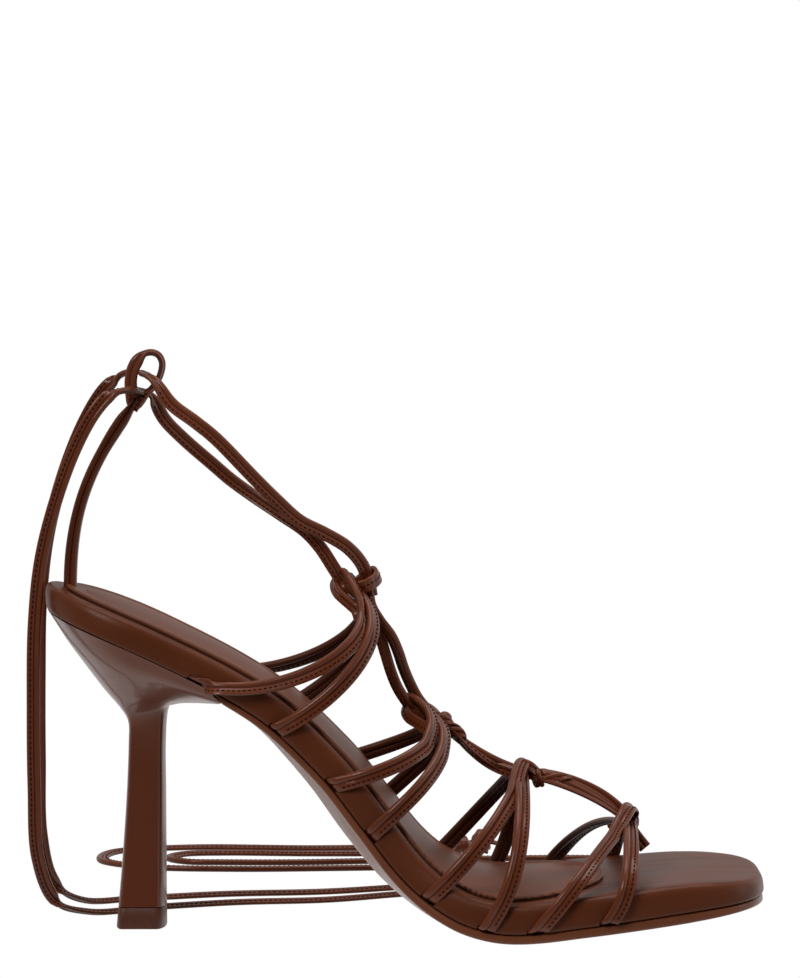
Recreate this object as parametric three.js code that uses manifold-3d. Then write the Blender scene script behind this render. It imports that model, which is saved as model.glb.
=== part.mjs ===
// Lace up heeled sandal for a right foot, standing empty on its heel and forefoot.
// A padded footbed wrapped in leather stands on a flared high heel and a thin outsole.
// Eight narrow corded straps a side rise from the join of footbed and outsole to four knots over the foot.
// Two cords run from the top knot to a loop on the heel strap, and two long ties leave that loop
// and lie on the floor behind the shoe.
// Frame: millimetres, +X from heel to toe, +Z up, the outer (little toe) side towards -Y.

import * as THREE from 'three';
import { mergeVertices } from 'three/addons/utils/BufferGeometryUtils.js';
import Module from 'manifold-3d';

const wasm = await Module();
wasm.setup();

// Driving sizes of the last
const LENGTH = 219;
const TOE_REACH = 0.9;
const HEEL_HEIGHT = 95;
const BALL_WIDTH = 85;
const INSTEP = 48;

// Footbed, sock liner and outsole
const FOOTBED_THICKNESS = 8.5;
const LINER_THICKNESS = 1.1;
const LINER_CROWN = 1.2;
const LINER_LENGTH = 166;
const LINER_SETBACK = 6;
const LINER_MARGIN = 4.6;
const OUTSOLE_THICKNESS = 3.7;
const OUTSOLE_FLAT = 0.35;
const OUTSOLE_MARGIN = 0.7;
const CLEARANCE = 0.3;

// Heel and its top lift
const SEAT_LENGTH = 55.3;
const BREAST_SLANT = 3.8;
const PIN_SETBACK = 24.4;
const NECK_LENGTH = 11.3;
const NECK_WIDTH = 13;
const NECK_HEIGHT = 57;
const TIP_LENGTH = 15.4;
const TIP_WIDTH = 18;
const TIP_SETBACK = 21.4;
const LIFT_HEIGHT = 6.5;

// Straps, their root slots and knots
const STRAP_WIDTH = 4.8;
const BEAD = 3;
const FLANGE = 1.1;
const STRAP_SHOULDER = 9.5;
const STRAP_BEND = 1.6;
const STRAP_TUCK = 3.6;
const TUCK_SLANT = 0.4;
const KNOT = 5;

// Heel strap and its loop
const HEEL_STRAP_SETBACK = 7.6;
const HEEL_STRAP_HEIGHT = 70.5;
const HEEL_STRAP_LEAN = 20.1;
const HEEL_STRAP_THICKNESS = 3.8;
const HEEL_STRAP_ROOT = 5;
const LOOP_LENGTH = 17.5;
const LOOP_WIDTH = 9.2;
const LOOP_STRAND = 2.6;

// Ties, with the knot and cut tail at their ends
const TIE_DIAMETER = 3.6;
const TIE_KNOT = 7.6;
const TIE_TAIL = 5;
const TIE_SIDES = 8;
const TIE_STEPS = 64;

// The line where footbed and outsole meet, seen from the side: share of LENGTH from the back,
// rise above the ball as a share of HEEL_HEIGHT
const PROFILE = [
  { at: 0.0, rise: 1.0 },
  { at: 0.153, rise: 0.851 },
  { at: 0.299, rise: 0.667 },
  { at: 0.388, rise: 0.48 },
  { at: 0.445, rise: 0.318 },
  { at: 0.495, rise: 0.175 },
  { at: 0.541, rise: 0.083 },
  { at: 0.591, rise: 0.023 },
  { at: 0.651, rise: 0.0 },
  { at: 0.751, rise: 0.023 },
  { at: 0.865, rise: 0.054 },
  { at: 1.0, rise: 0.094 },
];

// Half widths of the footbed from the centre line, as shares of BALL_WIDTH
const WIDTHS = [
  { at: 0.0, outer: 0.318, inner: 0.318 },
  { at: 0.146, outer: 0.325, inner: 0.321 },
  { at: 0.226, outer: 0.319, inner: 0.308 },
  { at: 0.299, outer: 0.31, inner: 0.294 },
  { at: 0.397, outer: 0.335, inner: 0.306 },
  { at: 0.495, outer: 0.405, inner: 0.37 },
  { at: 0.578, outer: 0.468, inner: 0.445 },
  { at: 0.69, outer: 0.5, inner: 0.5 },
  { at: 0.774, outer: 0.484, inner: 0.494 },
  { at: 0.886, outer: 0.428, inner: 0.445 },
  { at: 1.0, outer: 0.365, inner: 0.385 },
];

// Thickness along the sole: the footbed, the outsole's edge, and the belly of the outsole
// between its edges, as shares of FOOTBED_THICKNESS and OUTSOLE_THICKNESS
const THICKNESS = [
  { at: 0.0, footbed: 1.0, edge: 0.55, belly: 0.0 },
  { at: 0.25, footbed: 1.0, edge: 0.55, belly: 0.15 },
  { at: 0.36, footbed: 1.0, edge: 0.6, belly: 0.95 },
  { at: 0.45, footbed: 1.0, edge: 0.68, belly: 1.35 },
  { at: 0.53, footbed: 1.0, edge: 0.76, belly: 0.9 },
  { at: 0.6, footbed: 1.08, edge: 0.78, belly: 0.4 },
  { at: 0.66, footbed: 1.12, edge: 0.78, belly: 0.22 },
  { at: 0.8, footbed: 1.06, edge: 0.85, belly: 0.12 },
  { at: 0.9, footbed: 1.0, edge: 0.85, belly: 0.05 },
  { at: 1.0, footbed: 0.66, edge: 0.6, belly: 0.0 },
];

// Knots over the foot: share of LENGTH, rise above the last as a share of INSTEP, size as shares of KNOT
const KNOTS = {
  top: { at: 0.306, rise: 0.994, long: 1.1, deep: 0.75, wide: 0.95 },
  instep: { at: 0.416, rise: 0.765, long: 1.75, deep: 0.72, wide: 0.95 },
  ball: { at: 0.684, rise: 0.912, long: 0.85, deep: 0.6, wide: 0.9 },
  toe: { at: 0.83, rise: 0.505, long: 0.72, deep: 0.6, wide: 0.8 },
};

// Side straps from their slots in the sole to the knots: slot as a share of LENGTH,
// curve handles along and across the straight line between slot and knot
const STRAPS = [
  { slot: 0.235, knot: 'top', lowAlong: 0.22, lowAcross: -0.25, highAlong: 1.05, highAcross: -0.42 },
  { slot: 0.324, knot: 'top', lowAlong: 0.28, lowAcross: -0.2, highAlong: 0.95, highAcross: -0.43 },
  { slot: 0.4, knot: 'instep', lowAlong: 0.3, lowAcross: -0.07, highAlong: 0.95, highAcross: -0.22 },
  { slot: 0.452, knot: 'instep', lowAlong: 0.3, lowAcross: -0.06, highAlong: 0.95, highAcross: -0.34 },
  { slot: 0.532, knot: 'ball', lowAlong: 0.33, lowAcross: -0.03, highAlong: 0.7, highAcross: -0.04 },
  { slot: 0.614, knot: 'ball', lowAlong: 0.33, lowAcross: -0.13, highAlong: 0.7, highAcross: -0.08 },
  { slot: 0.687, knot: 'toe', lowAlong: 0.33, lowAcross: 0.04, highAlong: 0.8, highAcross: 0.16 },
  { slot: 0.785, knot: 'toe', lowAlong: 0.3, lowAcross: -0.14, highAlong: 0.75, highAcross: -0.02 },
];

// Cords along the middle of the foot, in pairs between the knots: handles as for the straps,
// side shifts at the start, middle and end as shares of STRAP_WIDTH
const SPINE = [
  { from: 'top', to: 'instep', lowAlong: 0.33, lowAcross: 0.02, highAlong: 0.7, highAcross: -0.05,
    start: -0.3, middle: -0.55, end: -0.3 },
  { from: 'top', to: 'instep', lowAlong: 0.4, lowAcross: -0.06, highAlong: 0.8, highAcross: -0.2,
    start: 0.3, middle: 0.6, end: 0.3 },
  { from: 'instep', to: 'ball', lowAlong: 0.3, lowAcross: -0.06, highAlong: 0.75, highAcross: -0.1,
    start: -0.35, middle: -0.3, end: 0.3 },
  { from: 'instep', to: 'ball', lowAlong: 0.3, lowAcross: -0.12, highAlong: 0.75, highAcross: -0.16,
    start: 0.35, middle: 0.3, end: -0.3 },
  { from: 'ball', to: 'toe', lowAlong: 0.2, lowAcross: 0.14, highAlong: 0.75, highAcross: 0.21,
    start: 0.3, middle: 0.45, end: 0.3 },
  { from: 'ball', to: 'toe', lowAlong: 0.25, lowAcross: 0.09, highAlong: 0.7, highAcross: 0.09,
    start: -0.3, middle: -0.5, end: -0.3 },
];

// Rings of the heel between its top and the pin: back and front points as shares of SEAT_LENGTH
// from the back, their heights as shares of the heel's own height, spread towards the seat's outline
const FLARE = [
  { back: 0.115, backHeight: 0.908, front: 0.99, frontHeight: 0.722, spread: 0.9 },
  { back: 0.22, backHeight: 0.826, front: 0.93, frontHeight: 0.716, spread: 0.7 },
  { back: 0.325, backHeight: 0.747, front: 0.845, frontHeight: 0.712, spread: 0.44 },
  { back: 0.41, backHeight: 0.69, front: 0.75, frontHeight: 0.706, spread: 0.2 },
  { back: 0.455, backHeight: 0.645, front: 0.68, frontHeight: 0.686, spread: 0.04 },
];

// Small helpers
const rad = THREE.MathUtils.degToRad;
const mix = THREE.MathUtils.lerp;
const LATERAL = new THREE.Vector3(0, 1, 0);

// A smooth curve through the rows of a table
function smooth(rows, key, at) {
  const t = THREE.MathUtils.clamp(at, 0, 1);
  let i = 0;
  while (i < rows.length - 2 && rows[i + 1].at < t) i += 1;
  const slope = (a, b) => (rows[b][key] - rows[a][key]) / (rows[b].at - rows[a].at);
  const span = rows[i + 1].at - rows[i].at;
  const u = (t - rows[i].at) / span;
  const leave = i > 0 ? slope(i - 1, i + 1) : slope(i, i + 1);
  const arrive = i + 2 < rows.length ? slope(i, i + 2) : slope(i, i + 1);
  return (2 * u ** 3 - 3 * u ** 2 + 1) * rows[i][key] + (u ** 3 - 2 * u ** 2 + u) * span * leave
    + (3 * u ** 2 - 2 * u ** 3) * rows[i + 1][key] + (u ** 3 - u ** 2) * span * arrive;
}

// The last: a cylinder over the side profile, with its own normal at each station x
const HALF = LENGTH / 2;
const BALL_LIFT = OUTSOLE_THICKNESS - OUTSOLE_FLAT;
const SEAT_UPRIGHT = 25;
const share = (x) => x / LENGTH + 0.5;
const station = (at) => at * LENGTH - HALF;
const lastHeight = (x) => BALL_LIFT + HEEL_HEIGHT * smooth(PROFILE, 'rise', share(x));

function lastSlope(x) {
  const near = THREE.MathUtils.clamp(x, 0.5 - HALF, HALF - 0.5);
  return lastHeight(near + 0.5) - lastHeight(near - 0.5);
}

function lastNormal(x) {
  return new THREE.Vector3(-lastSlope(x), 0, 1).normalize();
}

// The back edge of the seat stands upright, so the direction across the layers turns to vertical there
function layerNormal(x) {
  const upright = 1 - THREE.MathUtils.smoothstep(x, -HALF, SEAT_UPRIGHT - HALF);
  return lastNormal(x).lerp(new THREE.Vector3(0, 0, 1), upright).normalize();
}

function onLast(x, y, up) {
  return new THREE.Vector3(x, y, lastHeight(x)).addScaledVector(layerNormal(x), up);
}

function halfWidth(x, side) {
  return BALL_WIDTH * smooth(WIDTHS, side < 0 ? 'outer' : 'inner', share(x));
}

// Outline of a sole layer in plan: rounded back, squared front, drawn in by a margin.
// All layers share their stations along the sides, so that neighbours follow each other.
const CAP_STEPS = 5;
const STATION_STEP = LENGTH / 26;
const stations = Array.from({ length: 27 }, (_, i) => i * STATION_STEP - HALF);

function outline(plan, margin, sideMargin = 0, shift = 0) {
  const { from, to, back, front, backPower, frontPower, slant = 0 } = plan;
  const rows = [];
  const backCap = Math.max(back - margin, 0.2);
  const frontCap = Math.max(front - margin, 0.2);
  const start = from + shift + margin;
  const end = to - margin;
  const bulge = (angle, power) => Math.sin(rad(angle)) ** (2 / power);
  for (let i = 0; i <= CAP_STEPS; i += 1) {
    const angle = (90 * i) / CAP_STEPS;
    rows.push({ x: start + backCap * (1 - bulge(90 - angle, backPower)), full: bulge(angle, backPower) });
  }
  stations.filter((x) => x > from + back + slant + 1 && x < to - front - 1)
    .forEach((x) => rows.push({ x, full: 1 }));
  for (let i = CAP_STEPS; i >= 0; i -= 1) {
    const angle = (90 * i) / CAP_STEPS;
    rows.push({ x: end - frontCap * (1 - bulge(90 - angle, frontPower)), full: bulge(angle, frontPower) });
  }
  return rows.map(({ x, full }) => ({
    x,
    outer: -full * (halfWidth(x, -1) - margin - sideMargin),
    inner: full * (halfWidth(x, 1) - margin - sideMargin),
  }));
}

// A growing list of corners and triangles
class Shell {
  constructor() {
    this.corners = [];
    this.faces = [];
  }

  corner(point) {
    this.corners.push(point.x, point.y, point.z);
    return this.corners.length / 3 - 1;
  }

  quad(a, b, c, d) {
    this.faces.push(a, b, c, a, c, d);
  }

  band(lower, upper) {
    lower.forEach((_, k) => {
      const next = (k + 1) % lower.length;
      this.quad(lower[k], lower[next], upper[next], upper[k]);
    });
  }

  geometry() {
    const geometry = new THREE.BufferGeometry();
    geometry.setAttribute('position', new THREE.Float32BufferAttribute(this.corners, 3));
    geometry.setIndex(this.faces);
    return mergeVertices(geometry, 1e-4);
  }
}

// Rows of a loop: the first and last rows are single points on the centre line
function loopOf(shell, rows, placed) {
  const outer = rows.map((row) => shell.corner(placed(row.x, row.full === 0 ? 0 : row.outer)));
  const inner = rows.slice(1, -1).map((row) => shell.corner(placed(row.x, row.inner)));
  return [...outer, ...inner.reverse()];
}

// The face that closes a loop, as a grid from the outer to the inner edge
function closeLoop(shell, loop, rows, across, placed, upwards) {
  const last = rows.length - 1;
  const line = (j) => {
    const between = [];
    for (let c = 1; c < across; c += 1) {
      const { x, outer, inner } = rows[j];
      between.push(shell.corner(placed(x, mix(outer, inner, c / across), c / across)));
    }
    return [loop[j], ...between, loop[loop.length - j]];
  };
  const lines = rows.slice(1, last).map((_, j) => line(j + 1));
  const face = (a, b, c) => (upwards ? shell.faces.push(a, b, c) : shell.faces.push(a, c, b));
  for (let c = 0; c < across; c += 1) {
    face(loop[0], lines[0][c], lines[0][c + 1]);
    face(loop[last], lines[last - 2][c + 1], lines[last - 2][c]);
    for (let j = 0; j < lines.length - 1; j += 1) {
      face(lines[j][c], lines[j + 1][c], lines[j + 1][c + 1]);
      face(lines[j][c], lines[j + 1][c + 1], lines[j][c + 1]);
    }
  }
}

// A layer of the sole: edge rows from bottom to top, each with its height and its margin,
// and a crown for each face
function slab(plan, edges, { below = 2, above = 2, bottom = () => 0, top = () => 0 } = {}) {
  const shell = new Shell();
  const loops = edges.map(({ up, margin, side = 0, shift = 0 }) => {
    const rows = outline(plan, margin, side, shift);
    return { rows, up, loop: loopOf(shell, rows, (x, y) => onLast(x, y, up(x))) };
  });
  loops.slice(1).forEach((edge, i) => shell.band(loops[i].loop, edge.loop));
  const first = loops[0];
  const last = loops[loops.length - 1];
  const dome = (c) => 1 - (2 * c - 1) ** 2;
  closeLoop(shell, first.loop, first.rows, below,
    (x, y, c) => onLast(x, y, first.up(x) - bottom(x) * dome(c)), false);
  closeLoop(shell, last.loop, last.rows, above,
    (x, y, c) => onLast(x, y, last.up(x) + top(x) * dome(c)), true);
  return shell.geometry();
}

// Solids for joining and cutting
function solid(geometry) {
  const merged = mergeVertices(new THREE.BufferGeometry()
    .setAttribute('position', geometry.getAttribute('position').clone())
    .setIndex(geometry.getIndex() ?? null), 1e-4);
  return new wasm.Manifold(new wasm.Mesh({
    numProp: 3,
    vertProperties: new Float32Array(merged.getAttribute('position').array),
    triVerts: new Uint32Array(merged.getIndex().array),
  }));
}

function surface(body) {
  const mesh = body.getMesh();
  const geometry = new THREE.BufferGeometry();
  geometry.setAttribute('position', new THREE.Float32BufferAttribute(mesh.vertProperties, 3));
  geometry.setIndex([...mesh.triVerts]);
  geometry.computeVertexNormals();
  return geometry;
}

// A strap or cord: a section carried along points, with its outward face turned to the given directions
function sweep(points, outwards, section, closed = false) {
  const shell = new Shell();
  const count = points.length;
  const rings = points.map((point, i) => {
    const before = closed ? points[(i + count - 1) % count] : points[Math.max(i - 1, 0)];
    const after = closed ? points[(i + 1) % count] : points[Math.min(i + 1, count - 1)];
    const along = after.clone().sub(before).normalize();
    const out = outwards[i].clone().addScaledVector(along, -outwards[i].dot(along)).normalize();
    const across = out.clone().cross(along);
    return section.map(([wide, thick]) => shell.corner(
      point.clone().addScaledVector(across, wide).addScaledVector(out, thick)));
  });
  for (let i = 1; i < rings.length; i += 1) shell.band(rings[i - 1], rings[i]);
  if (closed) {
    shell.band(rings[count - 1], rings[0]);
  } else {
    for (let k = 1; k < section.length - 1; k += 1) {
      shell.faces.push(rings[0][0], rings[0][k + 1], rings[0][k]);
      shell.faces.push(rings[count - 1][0], rings[count - 1][k], rings[count - 1][k + 1]);
    }
  }
  return shell.geometry();
}

// The strap's section: a round bead along one edge and a thin stitched flange along the other
const BEAD_SIDE = STRAP_WIDTH / 2 - BEAD / 2;

function strapSection(beadSide) {
  const r = BEAD / 2;
  const corners = [
    [STRAP_WIDTH / 2, 0],
    [BEAD_SIDE, r],
    [BEAD_SIDE - r, FLANGE / 2],
    [-STRAP_WIDTH / 2, FLANGE / 2],
    [-STRAP_WIDTH / 2, -FLANGE / 2],
    [BEAD_SIDE - r, -FLANGE / 2],
    [BEAD_SIDE, -r],
  ];
  return beadSide > 0 ? corners : corners.map(([wide, thick]) => [-wide, thick]).reverse();
}

// Points of a smooth curve between two places, seen from the side, with handles
// along and across the straight line between them
function arch(start, end, { lowAlong, lowAcross, highAlong, highAcross }, steps, spread) {
  const line = end.clone().sub(start).setY(0);
  const over = new THREE.Vector3(-line.z, 0, line.x);
  const handle = (along, across) => start.clone().setY(0)
    .addScaledVector(line, along).addScaledVector(over, across);
  const curve = new THREE.CubicBezierCurve3(start.clone().setY(0),
    handle(lowAlong, lowAcross), handle(highAlong, highAcross), end.clone().setY(0));
  return Array.from({ length: steps + 1 }, (_, i) => curve.getPoint(spread(i / steps)));
}

// Where a point of the side view stands over the last: nearest station and height above it
function overLast(point) {
  let best = { distance: Infinity, x: 0 };
  for (let x = -HALF; x <= HALF; x += 0.5) {
    const distance = Math.hypot(point.x - x, point.z - lastHeight(x));
    if (distance < best.distance) best = { distance, x };
  }
  const rise = point.clone().setY(0).sub(onLast(best.x, 0, 0)).dot(lastNormal(best.x));
  return { x: best.x, up: Math.max(rise, 0) };
}

const knotPoint = (name) => {
  const { at, rise } = KNOTS[name];
  const x = station(at);
  return new THREE.Vector3(x, 0, lastHeight(x)).addScaledVector(lastNormal(x), rise * INSTEP);
};

// One side strap: up from the slot beside the footbed, then over the foot to its knot
const FOOT_POWER = 2.1;
const STRAP_STEPS = 9;
const STANDOFF = CLEARANCE + BEAD / 2;

function strapRun(row, side) {
  const slot = station(row.slot);
  const up = lastNormal(slot);
  const rise = KNOTS[row.knot].rise * INSTEP;
  const start = new THREE.Vector3(slot, 0, lastHeight(slot)).addScaledVector(up, STRAP_BEND);
  const flat = arch(start, knotPoint(row.knot), row, STRAP_STEPS, (u) => 1 - (1 - u) ** 2);
  const knotUp = lastNormal(station(KNOTS[row.knot].at));
  const outwards = [];
  const points = flat.map((point, i) => {
    const { x, up: height } = overLast(point);
    const reach = halfWidth(x, side) + STANDOFF;
    const risen = THREE.MathUtils.clamp((height - STRAP_SHOULDER) / (rise - STRAP_SHOULDER), 0, 1);
    const wide = i === flat.length - 1 ? 0 : (1 - risen ** FOOT_POWER) ** (1 / FOOT_POWER);
    const out = LATERAL.clone().multiplyScalar((side * wide ** (FOOT_POWER - 1)) / reach);
    out.addScaledVector(up.clone().lerp(knotUp, i / STRAP_STEPS).normalize(),
      risen ** (FOOT_POWER - 1) / (rise - STRAP_SHOULDER));
    outwards.push(out.normalize());
    return point.clone().setY(side * reach * wide);
  });
  return { points, outwards, slot, up, side };
}

// The strap's end folds under the footbed, keeping its slant to the sole's edge
function tuck({ points, outwards, slot, up, side }) {
  const edge = new THREE.Vector3(up.z, 0, -up.x);
  const rising = points[1].clone().sub(points[0]).setY(0).normalize();
  const slant = rising.dot(edge);
  const lean = TUCK_SLANT * slant / Math.sqrt(1 - slant ** 2);
  const lateral = LATERAL.clone().multiplyScalar(side);
  const centre = points[0].clone().addScaledVector(lateral, -STRAP_BEND);
  const bend = [90, 45].map((angle) => centre.clone()
    .addScaledVector(lateral, STRAP_BEND * Math.cos(rad(angle)))
    .addScaledVector(up, -STRAP_BEND * Math.sin(rad(angle)))
    .addScaledVector(edge, -lean * STRAP_BEND * rad(angle)));
  const inner = bend[0].clone().addScaledVector(lateral, -STRAP_TUCK)
    .addScaledVector(edge, -lean * STRAP_TUCK);
  const down = up.clone().negate();
  return {
    points: [inner, ...bend, ...points],
    outwards: [down, down, lateral.clone().add(down).normalize(), ...outwards],
    pocket: { mouth: bend[0], inner, lateral, edge, up, lean },
  };
}

// The pocket between footbed and outsole that holds a strap's folded end
function pocketSolid({ mouth, inner, lateral, edge, up, lean }) {
  const halfLong = (STRAP_WIDTH / 2 + CLEARANCE) * Math.sqrt(1 + lean ** 2);
  const halfThick = BEAD / 2 + CLEARANCE;
  const deeper = CLEARANCE + (STRAP_WIDTH / 2) * Math.abs(lean) / Math.sqrt(1 + lean ** 2);
  const end = inner.clone().addScaledVector(lateral, -deeper).addScaledVector(edge, -lean * deeper);
  const reach = STRAP_BEND * 3;
  const open = mouth.clone().addScaledVector(lateral, reach).addScaledVector(edge, lean * reach);
  const shell = new Shell();
  const ring = (point) => [[-1, -1], [1, -1], [1, 1], [-1, 1]].map(([long, thick]) => shell.corner(
    point.clone().addScaledVector(edge, long * halfLong).addScaledVector(up, thick * halfThick)));
  const [a, b] = lateral.y < 0 ? [end, open] : [open, end];
  const first = ring(a);
  const second = ring(b);
  shell.band(first, second);
  shell.quad(first[3], first[2], first[1], first[0]);
  shell.quad(second[0], second[1], second[2], second[3]);
  return solid(shell.geometry());
}

const runs = STRAPS.flatMap((row) => [-1, 1].map((side) => tuck(strapRun(row, side))));
const pockets = runs.map((run) => pocketSolid(run.pocket));

// Footbed: padded board wrapped in leather, thinner at the toe
const solePlan = { from: -HALF, to: HALF + TOE_REACH, back: 26, front: 24, backPower: 2.2, frontPower: 3.6 };
const bedTop = (x) => FOOTBED_THICKNESS * smooth(THICKNESS, 'footbed', share(x));
const bedEdge = (level) => (x) => mix(CLEARANCE / 2, bedTop(x), level);

function footbedShape() {
  return slab(solePlan, [
    { up: bedEdge(0), margin: 1.2 },
    { up: bedEdge(0.2), margin: 0.15 },
    { up: bedEdge(0.7), margin: 0 },
    { up: bedEdge(0.93), margin: 0.9 },
    { up: bedEdge(1), margin: 2.6 },
  ]);
}

// Sock liner: a thin padded sheet on the footbed that ends in a rounded front before the toe
const linerPlan = {
  from: LINER_SETBACK - HALF,
  to: LINER_SETBACK + LINER_LENGTH - HALF,
  back: 21,
  front: 36,
  backPower: 2.2,
  frontPower: 2.3,
};

function linerShape() {
  const level = (rise) => (x) => bedTop(x) + CLEARANCE + LINER_THICKNESS * rise;
  return slab(linerPlan, [
    { up: level(0), margin: 0.3, side: LINER_MARGIN },
    { up: level(0.6), margin: 0, side: LINER_MARGIN },
    { up: level(1), margin: 0.8, side: LINER_MARGIN },
  ], { above: 4, top: () => LINER_CROWN });
}

// Outsole: thin under the waist with a rounded belly, thicker under the ball, cut flat where it stands
const breast = SEAT_LENGTH - HALF;
const outsolePlan = {
  from: breast - BREAST_SLANT + CLEARANCE, to: HALF + TOE_REACH - OUTSOLE_MARGIN, back: 1.5, front: 24,
  backPower: 6, frontPower: 3.6, slant: BREAST_SLANT + 1,
};

function outsoleShape() {
  const depth = (level) => (x) => -mix(CLEARANCE / 2,
    OUTSOLE_THICKNESS * smooth(THICKNESS, 'edge', share(x)), level);
  return slab(outsolePlan, [
    { up: depth(1), margin: 0, side: OUTSOLE_MARGIN + 1.4, shift: BREAST_SLANT + 1 },
    { up: depth(0.7), margin: 0, side: OUTSOLE_MARGIN, shift: BREAST_SLANT * 0.7 + 0.7 },
    { up: depth(0.25), margin: 0, side: OUTSOLE_MARGIN * 0.6, shift: BREAST_SLANT * 0.25 + 0.3 },
    { up: depth(0), margin: 0, side: OUTSOLE_MARGIN + 0.5 },
  ], { below: 4, bottom: (x) => OUTSOLE_THICKNESS * smooth(THICKNESS, 'belly', share(x)) });
}

function boxSolid(low, high) {
  const box = new THREE.BoxGeometry(high.x - low.x, high.y - low.y, high.z - low.z);
  box.translate((high.x + low.x) / 2, (high.y + low.y) / 2, (high.z + low.z) / 2);
  box.deleteAttribute('normal');
  box.deleteAttribute('uv');
  return solid(mergeVertices(box));
}

// Heel: from the seat's outline down into a slim pin with a flat back and a rounded front
const HEEL_SHARES = [0, 0.012, 0.045, 0.11, 0.21, 0.34, 0.5, 0.66, 0.8, 0.9, 0.955, 0.985, 1];
const PIN_BACK = { cap: 0.14, power: 3 };
const PIN_FRONT = { cap: 0.2, power: 2.2 };
const heelTop = lastHeight(-HALF);

function rounded(v, { cap, power }) {
  return v >= cap ? 1 : (1 - (1 - v / cap) ** power) ** (1 / power);
}

function heelRing(shell, { back, front, half, spread, level }) {
  const seatFrom = -HALF + 0.7;
  const seatTo = breast - BREAST_SLANT;
  const seatBack = { cap: 26 / SEAT_LENGTH, power: 2.2 };
  const seatFront = { cap: 0.03, power: 5 };
  const rows = HEEL_SHARES.map((v) => {
    const pin = half * rounded(v, PIN_BACK) * rounded(1 - v, PIN_FRONT);
    const seat = rounded(v, seatBack) * rounded(1 - v, seatFront);
    const x = mix(seatFrom, seatTo, v);
    return {
      v,
      full: v === 0 || v === 1 ? 0 : 1,
      outer: -mix(pin, seat * (halfWidth(x, -1) - 0.8), spread),
      inner: mix(pin, seat * (halfWidth(x, 1) - 0.8), spread),
      place: level(v, mix(back.x, front.x, v), mix(back.z, front.z, v), x),
    };
  });
  const place = (row, y) => new THREE.Vector3(row.place.x, y, row.place.z);
  const outer = rows.map((row) => shell.corner(place(row, row.full * row.outer)));
  const inner = rows.slice(1, -1).map((row) => shell.corner(place(row, row.inner)));
  return { rows, place, loop: [...outer, ...inner.reverse()] };
}

// Back and front of the pin at a height, between the tip at the floor and the neck
function pinAt(z) {
  const t = z / NECK_HEIGHT;
  const flare = (1 - t) ** 1.4;
  const back = -HALF + mix(PIN_SETBACK + 0.9, TIP_SETBACK, flare);
  const long = mix(NECK_LENGTH, TIP_LENGTH, flare);
  return {
    back: new THREE.Vector3(back, 0, z),
    front: new THREE.Vector3(back + long, 0, z),
    half: mix(NECK_WIDTH, TIP_WIDTH, flare) / 2,
    spread: 0,
    level: (v, x, height) => ({ x, z: height }),
  };
}

function closeHeel(shell, ring, upwards) {
  const rows = ring.rows.map((row) => ({ ...row, x: row.v }));
  const placed = (v, y) => ring.place(ring.rows.find((row) => row.v === v), y);
  closeLoop(shell, ring.loop, rows, 2, placed, upwards);
}

function heelShape() {
  const shell = new Shell();
  const pinLevels = [LIFT_HEIGHT + CLEARANCE, 16, 29, 43, NECK_HEIGHT];
  const flare = [...FLARE].reverse().map((row) => ({
    back: new THREE.Vector3(row.back * SEAT_LENGTH - HALF, 0, row.backHeight * heelTop),
    front: new THREE.Vector3(row.front * SEAT_LENGTH - HALF, 0, row.frontHeight * heelTop),
    half: NECK_WIDTH / 2,
    spread: row.spread,
    level: (v, x, z, seatX) => {
      const chord = mix(lastHeight(-HALF), lastHeight(breast - BREAST_SLANT), v);
      return { x, z: z + row.spread * (lastHeight(seatX) - chord) };
    },
  }));
  const top = {
    back: new THREE.Vector3(), front: new THREE.Vector3(), half: 0, spread: 1,
    level: (v, x, z, seatX) => onLast(seatX, 0, -CLEARANCE / 2),
  };
  const rings = [...pinLevels.map(pinAt), ...flare, top].map((ring) => heelRing(shell, ring));
  rings.slice(1).forEach((ring, i) => shell.band(rings[i].loop, ring.loop));
  closeHeel(shell, rings[0], false);
  closeHeel(shell, rings[rings.length - 1], true);
  return shell.geometry();
}

function liftShape() {
  const shell = new Shell();
  const rings = [0, LIFT_HEIGHT].map((z) => heelRing(shell, pinAt(z)));
  shell.band(rings[0].loop, rings[1].loop);
  closeHeel(shell, rings[0], false);
  closeHeel(shell, rings[1], true);
  return shell.geometry();
}

// Knots: a tight core and a wrap of strap round it
function lump(centre, long, deep, wide, turn) {
  const ball = new THREE.SphereGeometry(1, 8, 6);
  ball.deleteAttribute('normal');
  ball.deleteAttribute('uv');
  ball.scale(long, wide, deep);
  ball.rotateY(turn);
  ball.translate(centre.x, centre.y, centre.z);
  return solid(mergeVertices(ball, 1e-4));
}

function ringAround(centre, direction, radiusUp, radiusSide, section, steps) {
  const up = new THREE.Vector3(-direction.z, 0, direction.x);
  const points = [];
  const outwards = [];
  for (let i = 0; i < steps; i += 1) {
    const angle = (2 * Math.PI * i) / steps;
    const out = up.clone().multiplyScalar(Math.cos(angle)).addScaledVector(LATERAL, Math.sin(angle));
    outwards.push(out);
    points.push(centre.clone().addScaledVector(up, radiusUp * Math.cos(angle))
      .addScaledVector(LATERAL, radiusSide * Math.sin(angle)));
  }
  return solid(sweep(points, outwards, section, true));
}

const wrapSection = [[1.9, 0], [1.1, 1.3], [-1.1, 1.3], [-1.9, 0], [-1.1, -0.9], [1.1, -0.9]];

function knotSolid(name) {
  const { at, long, deep, wide } = KNOTS[name];
  const centre = knotPoint(name);
  const slope = Math.atan(lastSlope(station(at)));
  const direction = new THREE.Vector3(Math.cos(slope), 0, Math.sin(slope));
  return lump(centre, long * KNOT, deep * KNOT, wide * KNOT, -slope)
    .add(ringAround(centre, direction, deep * KNOT * 0.85, wide * KNOT * 0.85, wrapSection, 8));
}

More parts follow.
